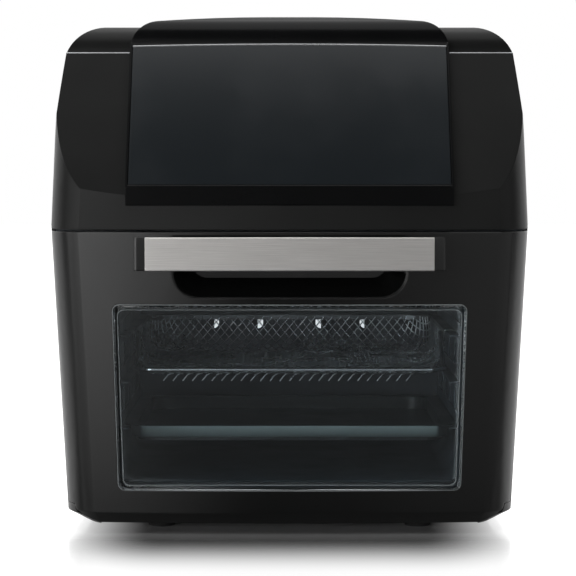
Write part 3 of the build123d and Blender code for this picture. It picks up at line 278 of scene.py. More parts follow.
def brushedMetal(name, look):
    material, tree, shader, place = newMaterial(name, look["plain"])
    grain = useGroup(tree, brushGrain, place, Pitch=look["pitch"], Stretch=look["stretch"])
    tone = mixColours(tree, maskNode(tree, grain["Streak"], "streak"), look["dark"], look["light"])
    cloud = maskNode(tree, grain["Cloud"], "cloud", 0.0, look["stain"])
    tree.links.new(mixColours(tree, cloud, tone, look["tint"]), shader.inputs["Base Color"])
    rough = maskNode(tree, grain["Streak"], "sheen", look["rough"] - look["spread"], look["rough"] + look["spread"])
    tree.links.new(rough, shader.inputs["Roughness"])
    addBump(tree, shader, grain["Streak"], look["bump"], look["depth"], look["edge"])
    return material


steelLook = {
    "plain": {"Metallic": 1.0, "Anisotropic": 0.75, "Anisotropic Rotation": 0.25},
    "dark": (0.7, 0.68, 0.66), "light": (0.9, 0.88, 0.858),
    "tint": (0.76, 0.74, 0.71), "stain": 0.25, "rough": 0.42, "spread": 0.06, "pitch": 3000.0, "stretch": 0.01,
    "bump": 0.25, "depth": 0.00005, "edge": 0.0005,
}
zincLook = {
    "plain": {"Metallic": 1.0}, "dark": (0.42, 0.43, 0.44), "light": (0.58, 0.59, 0.6), "tint": (0.3, 0.29, 0.27),
    "stain": 0.5, "rough": 0.42, "spread": 0.08, "pitch": 700.0, "stretch": 0.12, "bump": 0.15,
    "depth": 0.00005, "edge": 0.0003,
}
tubeLook = {
    "plain": {"Metallic": 1.0}, "dark": (0.16, 0.13, 0.11), "light": (0.28, 0.25, 0.22), "tint": (0.2, 0.12, 0.07),
    "stain": 0.7, "rough": 0.48, "spread": 0.08, "pitch": 900.0, "stretch": 0.4, "bump": 0.2,
    "depth": 0.00006, "edge": 0.0003,
}
coreLook = {
    "plain": {"Metallic": 1.0}, "dark": (0.2, 0.2, 0.21), "light": (0.36, 0.36, 0.37), "tint": (0.22, 0.15, 0.1),
    "stain": 0.35, "rough": 0.5, "spread": 0.1, "pitch": 1900.0, "stretch": 0.02, "bump": 0.4,
    "depth": 0.0002, "edge": 0.0002,
}
boltLook = {
    "plain": {"Metallic": 1.0}, "dark": (0.45, 0.45, 0.46), "light": (0.62, 0.62, 0.63), "tint": (0.35, 0.33, 0.3),
    "stain": 0.4, "rough": 0.3, "spread": 0.08, "pitch": 1500.0, "stretch": 0.5, "bump": 0.1,
    "depth": 0.00004, "edge": 0.0002,
}
bronzeLook = {
    "plain": {"Metallic": 1.0}, "dark": (0.42, 0.28, 0.13), "light": (0.6, 0.43, 0.22), "tint": (0.3, 0.2, 0.1),
    "stain": 0.4, "rough": 0.45, "spread": 0.08, "pitch": 2200.0, "stretch": 0.8, "bump": 0.2,
    "depth": 0.00006, "edge": 0.0002,
}
brushedSteel = brushedMetal("brushedSteel", steelLook)
zincSheet = brushedMetal("zincSheet", zincLook)
heaterTube = brushedMetal("heaterTube", tubeLook)
coreSteel = brushedMetal("coreSteel", coreLook)
boltSteel = brushedMetal("boltSteel", boltLook)
bronzeBush = brushedMetal("bronzeBush", bronzeLook)


def platedWire(name, look):
    material, tree, shader, place = newMaterial(name, look["plain"])
    marks = useGroup(tree, handlingMarks, place, Smear=look["smear"], Scratch=look["scratch"])
    tree.links.new(mixColours(tree, marks["Smear"], look["bright"], look["dull"]), shader.inputs["Base Color"])
    addSmear(tree, shader, marks["Smear"], look)
    addBump(tree, shader, marks["Scratch"], look["bump"], look["depth"], look["edge"])
    return material


meshLook = {"plain": {"Metallic": 1.0}, "bright": (0.8, 0.815, 0.835), "dull": (0.6, 0.61, 0.625), "rough": 0.24,
            "dullRough": 0.42, "smear": 30.0, "scratch": 90.0, "bump": 0.1, "depth": 0.00005, "edge": 0.0002}
wireLook = {"plain": {"Metallic": 1.0}, "bright": (0.82, 0.82, 0.83), "dull": (0.6, 0.6, 0.6), "rough": 0.16,
            "dullRough": 0.3, "smear": 40.0, "scratch": 90.0, "bump": 0.1, "depth": 0.00004, "edge": 0.0002}
rimLook = {"plain": {"Metallic": 1.0}, "bright": (0.12, 0.122, 0.125), "dull": (0.08, 0.081, 0.083), "rough": 0.34,
           "dullRough": 0.5, "smear": 30.0, "scratch": 90.0, "bump": 0.1, "depth": 0.00005, "edge": 0.0002}
trimLook = {"plain": {"Metallic": 1.0}, "bright": (0.44, 0.45, 0.46), "dull": (0.34, 0.345, 0.35), "rough": 0.2,
            "dullRough": 0.32, "smear": 30.0, "scratch": 90.0, "bump": 0.08, "depth": 0.00004, "edge": 0.0002}
darkChrome = platedWire("darkChrome", meshLook)
rimChrome = platedWire("rimChrome", rimLook)
trimChrome = platedWire("trimChrome", trimLook)
brightChrome = platedWire("brightChrome", wireLook)


def coatedSheet(name, look):
    material, tree, shader, place = newMaterial(name, look["plain"])
    skin = useGroup(tree, mouldSkin, place, Grain=look["grain"], Flow=look["flow"], Dust=look["speck"])
    marks = useGroup(tree, handlingMarks, place, Smear=look["smear"])
    tone = mixColours(tree, maskNode(tree, skin["Mottle"], "mottle"), look["dark"], look["light"])
    tone = mixColours(tree, skin["Dust"], tone, look["fleck"])
    if "hem" in look:  # painted reflection on the front hem, with a painted highlight along its top edge
        way = addNode(tree, "ShaderNodeSeparateXYZ")
        tree.links.new(place, way.inputs["Vector"])
        low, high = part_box(look["hem"])
        inner, outer = (low[1] + depth for depth in look["hemDepths"])
        front = rangeNode(tree, way.outputs["Y"], inner, outer, 0.0, 1.0)
        # painted highlight: the hem's tone brightens towards its top edge
        rise = rangeNode(tree, way.outputs["Z"], high[2] - look["hemFall"], high[2], 0.0, 1.0)
        tone = mixColours(tree, front, tone, mixColours(tree, rise, look["hemLow"], look["hemHigh"]))
    tree.links.new(tone, shader.inputs["Base Color"])
    addSmear(tree, shader, marks["Smear"], look)
    addBump(tree, shader, skin["Height"], look["bump"], look["depth"], look["edge"])
    return material


liningLook = {"plain": {"IOR": 1.5}, "dark": (0.029, 0.037, 0.046), "light": (0.046, 0.057, 0.07),
              "fleck": (0.11, 0.12, 0.13), "speck": 0.5, "grain": 1500.0, "flow": 20.0, "smear": 14.0,
              "rough": 0.36, "dullRough": 0.5, "bump": 0.18, "depth": 0.00012, "edge": 0.0006}
# the tray's front hem carries a painted reflection, brightest at its top edge as a painted highlight
trayLook = {"plain": {"IOR": 1.45}, "dark": (0.012, 0.015, 0.016), "light": (0.018, 0.022, 0.023),
            "hem": "drip_tray", "hemDepths": (0.0016, 0.0008), "hemFall": 0.0075,
            "hemLow": (0.045, 0.058, 0.058), "hemHigh": (0.22, 0.27, 0.27),
            "fleck": (0.05, 0.055, 0.06), "speck": 0.4, "grain": 1900.0, "flow": 16.0, "smear": 12.0,
            "rough": 0.3, "dullRough": 0.42, "bump": 0.12, "depth": 0.0001, "edge": 0.0009}
sheetLook = {"plain": {"IOR": 1.48}, "dark": (0.014, 0.014, 0.015), "light": (0.022, 0.022, 0.023),
             "fleck": (0.05, 0.05, 0.05), "speck": 0.3, "grain": 1000.0, "flow": 24.0, "smear": 9.0,
             "rough": 0.45, "dullRough": 0.58, "bump": 0.4, "depth": 0.0002, "edge": 0.0005}
boardLook = {"plain": {"IOR": 1.5}, "dark": (0.02, 0.11, 0.05), "light": (0.035, 0.17, 0.08),
             "fleck": (0.5, 0.48, 0.4), "speck": 0.6, "grain": 420.0, "flow": 60.0, "smear": 30.0,
             "rough": 0.35, "dullRough": 0.5, "bump": 0.25, "depth": 0.0002, "edge": 0.0002}
windingLook = {"plain": {"Metallic": 0.6}, "dark": (0.3, 0.12, 0.04), "light": (0.62, 0.3, 0.12),
               "fleck": (0.7, 0.4, 0.2), "speck": 0.4, "grain": 2400.0, "flow": 300.0, "smear": 30.0,
               "rough": 0.34, "dullRough": 0.5, "bump": 0.5, "depth": 0.0002, "edge": 0.0005}
darkLining = coatedSheet("darkLining", liningLook)
trayCoat = coatedSheet("trayCoat", trayLook)
blackSheet = coatedSheet("blackSheet", sheetLook)
boardGreen = coatedSheet("boardGreen", boardLook)
enamelWinding = coatedSheet("enamelWinding", windingLook)


def clearPane(name, look):
    material, tree, shader, place = newMaterial(name, look["plain"])
    marks = useGroup(tree, handlingMarks, place, Smear=look["smear"])
    addSmear(tree, shader, marks["Smear"], look)
    tree.links.new(mixColours(tree, marks["Smear"], look["tint"], look["film"]), shader.inputs["Base Color"])
    # lamps reach what is behind the pane
    lampPath = addNode(tree, "ShaderNodeLightPath").outputs["Is Shadow Ray"]
    clear = addNode(tree, "ShaderNodeBsdfTransparent", {"Color": (*look["pass"], 1.0)})
    both = addNode(tree, "ShaderNodeMixShader")
    tree.links.new(lampPath, both.inputs[0])
    tree.links.new(shader.outputs["BSDF"], both.inputs[1])
    tree.links.new(clear.outputs["BSDF"], both.inputs[2])
    tree.links.new(both.outputs["Shader"], tree.nodes["Material Output"].inputs["Surface"])
    return material


paneLook = {"plain": {"IOR": 1.34, "Transmission Weight": 1.0}, "tint": (0.93, 0.97, 0.99),
            "film": (0.9, 0.945, 0.965), "pass": (0.93, 0.95, 0.95), "rough": 0.0, "dullRough": 0.012,
            "smear": 7.0}
clearGlass = clearPane("clearGlass", paneLook)
print("finishes built")


# each packed slot gets its finish
slotFinish = {
    "satin_black": satinBlack, "gloss_black": glossBlack, "panel_gloss": panelGloss, "brushed_steel": brushedSteel,
    "clear_glass": clearGlass, "dark_coating": darkLining, "dark_chrome": darkChrome, "bright_chrome": brightChrome,
    "zinc_sheet": zincSheet, "black_sheet": blackSheet, "heater_tube": heaterTube, "core_steel": coreSteel,
    "winding": enamelWinding, "bronze": bronzeBush, "board_green": boardGreen, "rubber": softRubber,
    "seal_grey": sealSilicone, "white_plastic": whitePlastic, "bolt_steel": boltSteel,
}
ownFinish = {"drip_tray": trayCoat, "control_hood": hoodBlack}
for part in frame["record"]["subparts"]:
    finish = ownFinish.get(part["node"], slotFinish[part["material_slot"]])
    mesh = nodes[part["node"]].data
    for index in range(max(len(mesh.materials), 1)):
        if mesh.materials:
            mesh.materials[index] = finish
        else:
            mesh.materials.append(finish)
print("packed nodes dressed")


# shared by the pieces that the scene builds

def newObject(name, data):
    piece = bpy.data.objects.new(name, data)
    bpy.context.collection.objects.link(piece)
    return piece


def newTree(name, inputs, output):
    tree = bpy.data.node_groups.new(name, "GeometryNodeTree")
    for label, kind in inputs:
        tree.interface.new_socket(label, in_out="INPUT", socket_type=kind)
    tree.interface.new_socket(output, in_out="OUTPUT", socket_type="NodeSocketGeometry")
    return tree, tree.nodes.new("NodeGroupInput"), tree.nodes.new("NodeGroupOutput")


def endTree(tree, given, made, geometry):
    real = tree.nodes.new("GeometryNodeRealizeInstances")
    finish = tree.nodes.new("GeometryNodeSetMaterial")
    tree.links.new(geometry, real.inputs["Geometry"])
    tree.links.new(real.outputs["Geometry"], finish.inputs["Geometry"])
    tree.links.new(given.outputs["Finish"], finish.inputs["Material"])
    tree.links.new(finish.outputs["Geometry"], made.inputs[0])


def settleNodes(piece, tree, values):
    modifier = piece.modifiers.new("build", "NODES")
    modifier.node_group = tree
    for item in tree.interface.items_tree:
        if item.in_out == "INPUT" and item.name in values:
            modifier[item.identifier] = values[item.name]
    settled = bpy.data.meshes.new_from_object(piece.evaluated_get(bpy.context.evaluated_depsgraph_get()))
    piece.modifiers.remove(modifier)
    piece.data = settled
    settled.name = piece.name


def strandTree():
    tree, given, made = newTree(
        "strandSweep",
        [("Runs", "NodeSocketGeometry"), ("Strand Radius", "NodeSocketFloat"), ("Sides", "NodeSocketInt"),
         ("Finish", "NodeSocketMaterial")], "Strands")
    toCurve = tree.nodes.new("GeometryNodeMeshToCurve")
    section = tree.nodes.new("GeometryNodeCurvePrimitiveCircle")
    sweep = addNode(tree, "GeometryNodeCurveToMesh", {"Fill Caps": True})
    smooth = tree.nodes.new("GeometryNodeSetShadeSmooth")
    join = tree.links.new
    join(given.outputs["Runs"], toCurve.inputs["Mesh"])
    join(given.outputs["Strand Radius"], section.inputs["Radius"])
    join(given.outputs["Sides"], section.inputs["Resolution"])
    join(toCurve.outputs["Curve"], sweep.inputs["Curve"])
    join(section.outputs["Curve"], sweep.inputs["Profile Curve"])
    join(sweep.outputs["Mesh"], smooth.inputs["Geometry"])
    endTree(tree, given, made, smooth.outputs["Geometry"])
    return tree


strandNodes = strandTree()


def makeStrands(name, paths, radius, sides, finish, closed=False):
    points, edges = [], []
    for path in paths:
        first, last = len(points), len(points) + len(path) - 1
        edges += [(index, index + 1) for index in range(first, last)]
        if closed:
            edges.append((last, first))
        points += path
    mesh = bpy.data.meshes.new(name + "Path")
    mesh.from_pydata(points, edges, [])
    piece = newObject(name, mesh)
    settleNodes(piece, strandNodes, {"Strand Radius": radius, "Sides": sides, "Finish": finish})
    return piece


def bridgeRows(shape, rows, closed=True):
    for first, second in zip(rows, rows[1:]):
        for index in range(len(first) if closed else len(first) - 1):
            after = (index + 1) % len(first)
            shape.faces.new((first[index], first[after], second[after], second[index]))


def settleShape(name, shape, crease=None):
    bmesh.ops.recalc_face_normals(shape, faces=shape.faces)
    mesh = bpy.data.meshes.new(name)
    shape.to_mesh(mesh)
    shape.free()
    if crease:
        mesh.shade_smooth()
        mesh.set_sharp_from_angle(angle=math.radians(crease))
    return mesh


# basket of crossed strands that runs over the floor, up the rounded bend and down the front
basketSizes = {
    "pitchAcross": 0.0068, "pitchAlong": 0.0082, "strand": 0.00045, "sides": 5, "lift": 0.00028, "bend": 0.017,
    "corner": 0.0215, "frontBend": 0.0022, "apron": 0.0062, "sheet": 0.001, "riseStart": 0.022, "riseRun": 0.026,
    "wireLevel": 0.0027, "flange": 0.007, "lip": 0.0035, "sideMargin": 0.04, "deepMargin": 0.06, "hangSteps": 3,
    "steep": 1.5, "cornerStep": 9, "soften": 0.0003,
}


def basketLimits():
    low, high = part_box("basket_floor")
    wallLow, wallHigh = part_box("basket_walls")
    half = high[0] + basketSizes["sheet"] / 2
    back = high[1] + basketSizes["sheet"] / 2
    return {"half": half, "back": back, "front": wallLow[1] + basketSizes["sheet"] / 2,
            "floor": (low[2] + high[2]) / 2, "rim": wallHigh[2] - basketSizes["sheet"] / 2}


def basketPoint(u, v, limits):
    bend, corner, frontBend = basketSizes["bend"], basketSizes["corner"], basketSizes["frontBend"]
    fold = limits["front"] + frontBend - v
    coreX, coreY = limits["half"] - corner, limits["back"] - corner
    outX, outY = max(abs(u) - coreX, 0.0), max(v - coreY, 0.0)
    reach = math.hypot(outX, outY)
    point = Vector((u, max(v, limits["front"] + frontBend), limits["floor"]))
    normal = Vector((0, 0, 1))
    if reach > corner - bend:
        side = Vector((math.copysign(outX, u), outY, 0)) / reach
        base = Vector((math.copysign(min(abs(u), coreX), u), min(point.y, coreY), limits["floor"]))
        climb = reach - (corner - bend)
        turn = min(climb / bend, math.pi / 2)
        rise = bend * (1 - math.cos(turn)) + max(climb - bend * math.pi / 2, 0.0)
        point = base + side * (corner - bend + bend * math.sin(turn)) + Vector((0, 0, rise))
        normal = Vector((0, 0, math.cos(turn))) - side * math.sin(turn)
    if fold > 0:
        turn = min(fold / frontBend, math.pi / 2)
        drop = frontBend * (1 - math.cos(turn)) + max(fold - frontBend * math.pi / 2, 0.0)
        point += Vector((0, -frontBend * math.sin(turn), -drop))
        normal = (normal + Vector((0, -math.tan(min(turn, basketSizes["steep"])), 0))).normalized()
    return point, normal


def basketHolds(u, v, limits):
    point = basketPoint(u, v, limits)[0]
    start = limits["front"] + basketSizes["riseStart"]
    slope = min(max((point.y - start) / basketSizes["riseRun"], 0.0), 1.0)
    level = limits["floor"] + basketSizes["wireLevel"]
    top = level + slope * (limits["rim"] - level)
    inApron = v > limits["front"] - basketSizes["apron"]
    frontOnly = v > limits["front"] + basketSizes["frontBend"] or abs(u) < limits["half"] - basketSizes["corner"]
    return point.z < top and inApron and frontOnly


def strandRuns(limits):
    stepU, stepV = basketSizes["pitchAcross"] / 2, basketSizes["pitchAlong"] / 2
    reach = limits["half"] + basketSizes["sideMargin"]
    wide = int(reach / stepU)
    deep = int((limits["back"] - limits["front"] + basketSizes["deepMargin"]) / stepV)
    runs = []
    for way in (-1, 1):
        for first in range(-wide - deep, wide + deep + 1, 2):
            run = []
            for step in range(-basketSizes["hangSteps"], deep):
                u, v = (first + way * step) * stepU, limits["front"] + step * stepV
                held = abs(u) < reach and basketHolds(u, v, limits)
                held = held and (way > 0 or v > limits["front"])  # one family hangs down the front
                if held:
                    point, normal = basketPoint(u, v, limits)
                    run.append(point + normal * basketSizes["lift"] * way)
                if not held or step == deep - 1:
                    if len(run) > 1:
                        runs.append(run)
                    run = []
    return runs


def rimPath(limits):
    start = limits["front"] + basketSizes["riseStart"] + basketSizes["riseRun"] / 2
    corner = basketSizes["corner"]
    coreX, coreY = limits["half"] - corner, limits["back"] - corner
    path = [(Vector((-limits["half"], start, 0)), Vector((-1, 0, 0)))]
    turn = basketSizes["cornerStep"]
    for side, angles in ((-1, range(180, 89, -turn)), (1, range(90, -1, -turn))):
        for angle in angles:
            way = Vector((math.cos(math.radians(angle)), math.sin(math.radians(angle)), 0))
            path.append((Vector((side * coreX, coreY, 0)) + way * corner, way))
    path.append((Vector((limits["half"], start, 0)), Vector((1, 0, 0))))
    return path


def makeBasketMesh(limits):
    piece = makeStrands("basketMesh", strandRuns(limits), basketSizes["strand"], basketSizes["sides"], darkChrome)
    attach(piece, "housing")
    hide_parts("basket_floor")
    return piece


def makeBasketRim(limits):
    half, top = basketSizes["sheet"] / 2, limits["rim"]
    profile = [(-half, -basketSizes["lip"]), (-half, half), (basketSizes["flange"], half),
               (basketSizes["flange"], -half), (half, -half), (half, -basketSizes["lip"])]
    shape = bmesh.new()
    rows = [[shape.verts.new(place + way * out + Vector((0, 0, top + up))) for out, up in profile]
            for place, way in rimPath(limits)]
    bridgeRows(shape, rows)
    shape.faces.new(rows[0][::-1])
    shape.faces.new(rows[-1])
    mesh = settleShape("basketRim", shape)
    mesh.materials.append(rimChrome)
    piece = newObject("basketRim", mesh)
    soften = piece.modifiers.new("soften", "BEVEL")
    soften.width = basketSizes["soften"]
    soften.segments = 2
    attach(piece, "housing")
    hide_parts("basket_walls")


basketEdges = basketLimits()
basketMesh = makeBasketMesh(basketEdges)
makeBasketRim(basketEdges)
print("basket strands:", len(basketMesh.data.polygons), "faces")


# slim plated beads along the top edges of the fascia and of the touch panel
beadSizes = {
    "fascia": (-0.0978, 0.3303), "fasciaEnds": (0.1112, 0.1551), "fasciaRadius": 0.0007, "panelHalf": 0.1085,
    "panelEnd": (-0.10377, 0.33467), "panelMiddle": (-0.10308, 0.336), "panelRadius": 0.0009, "sink": 0.0004,
    "slant": 27.6, "steps": 12, "sides": 10,
}


def makeEdgeBeads():
    near, far = beadSizes["fasciaEnds"]
    pair = [[(side * x, *beadSizes["fascia"]) for x in (near, far)] for side in (-1, 1)]
    fasciaBead = makeStrands("fasciaBead", pair, beadSizes["fasciaRadius"], beadSizes["sides"], trimChrome)
    slant, steps = math.radians(beadSizes["slant"]), beadSizes["steps"]
    inward = Vector((0, math.cos(slant), -math.sin(slant))) * beadSizes["sink"]
    arch = []
    for step in range(-steps, steps + 1):
        share = (step / steps) ** 2
        y, z = (m + (e - m) * share for m, e in zip(beadSizes["panelMiddle"], beadSizes["panelEnd"]))
        arch.append(Vector((beadSizes["panelHalf"] * step / steps, y, z)) + inward)
    panelBead = makeStrands("panelBead", [arch], beadSizes["panelRadius"], beadSizes["sides"], trimChrome)
    for piece in (fasciaBead, panelBead):
        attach(piece, "housing")


makeEdgeBeads()
print("edge beads built")


# sloped bed of the finger scoop, inside the door's pocket
scoopSizes = {
    "half": 0.0795, "low": 0.1627, "high": 0.1991, "corner": 0.018, "front": -0.1509, "lean": 0.0461, "bow": 0.316,
    "sink": 0.0009, "back": -0.1312, "slope": 0.0128, "tight": 0.0035, "steps": 7, "gap": 0.0001,
    "cornerShare": 0.6, "dish": 1.2, "sideSteps": 5, "cornerSteps": 10, "footSteps": 8, "crease": 38.0,
}


def scoopPath(inset):
    half, low = scoopSizes["half"] - inset, scoopSizes["low"] + inset
    turn = max(scoopSizes["corner"] - inset * scoopSizes["cornerShare"], scoopSizes["tight"])
    sideSteps, cornerSteps, footSteps = (scoopSizes[key] for key in ("sideSteps", "cornerSteps", "footSteps"))
    tall = scoopSizes["high"] - low - turn
    path = [(half, low + turn + tall * (1 - step / sideSteps)) for step in range(sideSteps)]
    for step in range(cornerSteps + 1):
        angle = math.radians(-90.0 * step / cornerSteps)
        path.append((half - turn + turn * math.cos(angle), low + turn + turn * math.sin(angle)))
    path += [((half - turn) * (1 - step / footSteps), low) for step in range(1, footSteps + 1)]
    return path + [(-x, z) for x, z in path[-2::-1]]


def scoopPoint(x, z, share):
    skin = scoopSizes["front"] - scoopSizes["lean"] * (z - scoopSizes["low"]) + scoopSizes["bow"] * x * x
    near = skin + scoopSizes["sink"]
    return Vector((x, near + (scoopSizes["back"] - near) * share, z))


def makeScoopBed():
    steps, gap = scoopSizes["steps"], scoopSizes["gap"]
    shape = bmesh.new()
    rows = []
    for step in range(steps + 1):
        share = step / steps
        inset = gap + scoopSizes["slope"] * share ** scoopSizes["dish"]
        rows.append([shape.verts.new(scoopPoint(x, z, share)) for x, z in scoopPath(inset)])
    rows.append([shape.verts.new(scoopPoint(x, z, 1.0)) for x, z in scoopPath(gap)])
    bridgeRows(shape, rows + rows[:1], closed=False)
    for end in (0, -1):
        shape.faces.new([row[end] for row in rows])
    mesh = settleShape("scoopBed", shape, scoopSizes["crease"])
    mesh.materials.append(glossBlack)
    piece = newObject("scoopBed", mesh)
    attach(piece, "door")


makeScoopBed()
print("scoop bed built")


# painted highlights: pale lines stand in for the glints on the pane's edges, one round the pane on the door's skin, one
# behind it on the edge of its rim
paneGlintSizes = {"low": 0.0308, "high": 0.1581, "foot": 0.117, "top": 0.12, "corner": 0.0045, "rim": 0.0034,
                "paneBack": 0.0041, "outerRadius": 0.00045, "innerRadius": 0.0004, "arc": 5, "along": 16, "longRun": 4}


def paneGlintPath(inset, place):
    low, high = paneGlintSizes["low"] + inset, paneGlintSizes["high"] - inset
    foot, top, corner = paneGlintSizes["foot"] - inset, paneGlintSizes["top"] - inset, paneGlintSizes["corner"]
    arc, along = paneGlintSizes["arc"], paneGlintSizes["along"]
    path = []
    for x, z, start in ((foot, low, -90), (top, high, 0), (-top, high, 90), (-foot, low, 180)):
        middle = (x - math.copysign(corner, x), z + (corner if z == low else -corner))
        for step in range(arc + 1):
            angle = math.radians(start + 90.0 * step / arc)
            path.append((middle[0] + corner * math.cos(angle), middle[1] + corner * math.sin(angle)))
    loop = []
    for first, second in zip(path, path[1:] + path[:1]):
        count = along if math.dist(first, second) > paneGlintSizes["longRun"] * corner else 1
        loop += [tuple(a + (b - a) * step / count for a, b in zip(first, second)) for step in range(count)]
    return [place(x, z) for x, z in loop]


def makePaneGlints():
    def onSkin(x, z):
        point = scoopPoint(x, z, 0.0)
        return point - Vector((0, scoopSizes["sink"], 0))

    def behindPane(x, z):
        return Vector((x, onSkin(0.0, z).y + paneGlintSizes["paneBack"], z))

    sides, rim = beadSizes["sides"], paneGlintSizes["rim"]
    outer = makeStrands("outerGlazing", [paneGlintPath(0.0, onSkin)], paneGlintSizes["outerRadius"], sides, glazingBead,
                        closed=True)
    inner = makeStrands("innerGlazing", [paneGlintPath(rim, behindPane)], paneGlintSizes["innerRadius"], sides, glazingBead,
                        closed=True)
    for piece in (outer, inner):
        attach(piece, "door")


# pale lines of painted highlight round the pane's edges
makePaneGlints()
print("glazing beads built")


# back panel screws: one pan head with a cross recess, set at each fixing point
screwSizes = {"head": 0.0045, "height": 0.0024, "shank": 0.002, "length": 0.005, "cross": 0.0023, "slot": 0.00042,
              "deep": 0.0013, "taper": 0.7, "around": 24, "spread": 0.02, "crease": 40.0, "seed": 4,
              "shankShares": ((0.6, 1.0), (1.0, 0.85), (1.0, 0.0)),
              "headShares": ((1.0, 0.0), (1.0, 0.45), (0.95, 0.75), (0.82, 0.94), (0.68, 1.0))}


def screwMesh():
    head, high, shank, length = (screwSizes[key] for key in ("head", "height", "shank", "length"))
    profile = [(shank * out, -length * down) for out, down in screwSizes["shankShares"]]
    profile += [(head * out, high * up) for out, up in screwSizes["headShares"]]
    shape = bmesh.new()
    turns = [math.tau * index / screwSizes["around"] for index in range(screwSizes["around"])]
    rings = [[shape.verts.new((out * math.cos(turn), up, out * math.sin(turn))) for turn in turns]
             for out, up in profile]
    bridgeRows(shape, rings)
    shape.faces.new(rings[0])
    arm, half = screwSizes["cross"], screwSizes["slot"]
    corners = [(arm, -half), (arm, half), (half, half), (half, arm), (-half, arm), (-half, half), (-arm, half),
               (-arm, -half), (-half, -half), (-half, -arm), (half, -arm), (half, -half)]
    brim = [shape.verts.new((x, high, z)) for x, z in corners]
    taper = screwSizes["taper"]
    bed = [shape.verts.new((x * taper, high - screwSizes["deep"], z * taper)) for x, z in corners]
    rim = [shape.edges.get((rings[-1][index - 1], rings[-1][index])) for index in range(len(turns))]
    cut = [shape.edges.new((brim[index - 1], brim[index])) for index in range(len(brim))]
    bmesh.ops.triangle_fill(shape, use_beauty=True, edges=rim + cut)
    for index in range(len(brim)):
        shape.faces.new((brim[index - 1], brim[index], bed[index], bed[index - 1]))
    shape.faces.new(bed)
    return settleShape("panHead", shape, screwSizes["crease"])


def screwPlaces():
    seat = max(corner[1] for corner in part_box("back_screws")) - screwSizes["height"]
    groups = []
    for vertex in nodes["back_screws"].data.vertices:
        place = Vector((vertex.co.x, 0, vertex.co.z))
        near = [group for group in groups if (group[0] - place).length < screwSizes["spread"]]
        if near:
            near[0].append(place)
        else:
            groups.append([place])
    middles = []
    for group in groups:
        low = [min(place[axis] for place in group) for axis in (0, 2)]
        high = [max(place[axis] for place in group) for axis in (0, 2)]
        middles.append(((low[0] + high[0]) / 2, seat, (low[1] + high[1]) / 2))
    return middles


def screwTree():
    tree, given, made = newTree(
        "screwSet",
        [("Places", "NodeSocketGeometry"), ("Screw", "NodeSocketObject"), ("Seed", "NodeSocketInt"),
         ("Finish", "NodeSocketMaterial")], "Screws")
    points = tree.nodes.new("GeometryNodeMeshToPoints")
    shown = tree.nodes.new("GeometryNodeObjectInfo")
    turn = addNode(tree, "FunctionNodeRandomValue", {3: math.tau}, data_type="FLOAT")
    spin = tree.nodes.new("ShaderNodeCombineXYZ")
    placed = tree.nodes.new("GeometryNodeInstanceOnPoints")
    join = tree.links.new
    join(given.outputs["Places"], points.inputs["Mesh"])
    join(given.outputs["Screw"], shown.inputs["Object"])
    join(given.outputs["Seed"], turn.inputs["Seed"])
    join(turn.outputs[1], spin.inputs["Y"])
    join(points.outputs["Points"], placed.inputs["Points"])
    join(shown.outputs["Geometry"], placed.inputs["Instance"])
    join(spin.outputs["Vector"], placed.inputs["Rotation"])
    endTree(tree, given, made, placed.outputs["Instances"])
    return tree


def makeBackScrews():
    model = newObject("panHead", screwMesh())
    mesh = bpy.data.meshes.new("screwPlaces")
    mesh.from_pydata(screwPlaces(), [], [])
    piece = newObject("backScrews", mesh)
    settleNodes(piece, screwTree(), {"Screw": model, "Seed": screwSizes["seed"], "Finish": boltSteel})
    bpy.data.objects.remove(model)
    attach(piece, "housing")
    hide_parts("back_screws")
    print("back screws:", len(piece.data.polygons), "faces")


makeBackScrews()


# stage: floor, studio surroundings, lamp and camera
stageSizes = {
    "reach": 7.0, "floorLow": 0.84, "floorHigh": 0.88, "floorRough": 0.16, "footHalf": (0.085, 0.146),
    "liftStart": 0.015, "liftRun": 0.13, "lift": 0.9, "sideReach": 1.4, "paintedShadeStart": -0.06, "paintedShadeEnd": -0.16,
    "paintedShadeShare": 0.2, "dim": 0.05, "backdrop": 0.9, "leftGlow": 4.9, "rightGlow": 0.82, "frontGlow": 0.88,
    "farShare": 0.4, "upperShare": 0.13, "paperScale": 3.0,
}
# where the surroundings change, along each axis of the view's direction
glowSpans = {
    "backdrop": ("Y", 0.05, 0.45), "front": ("Y", -0.1, 0.1), "shown": ("Y", 0.08, 0.45),
    "tallFoot": ("Z", -0.36, -0.14), "tallHead": ("Z", 0.2, 0.3), "lowFoot": ("Z", -0.26, -0.14),
    "lowHead": ("Z", 0.02, 0.15),
    "leftNear": ("X", -0.34, -0.02), "leftFar": ("X", -0.97, -0.78), "right": ("X", 0.0, 0.3),
    "lowLeft": ("X", -0.4, -0.15), "lowRight": ("X", 0.15, 0.4),
}


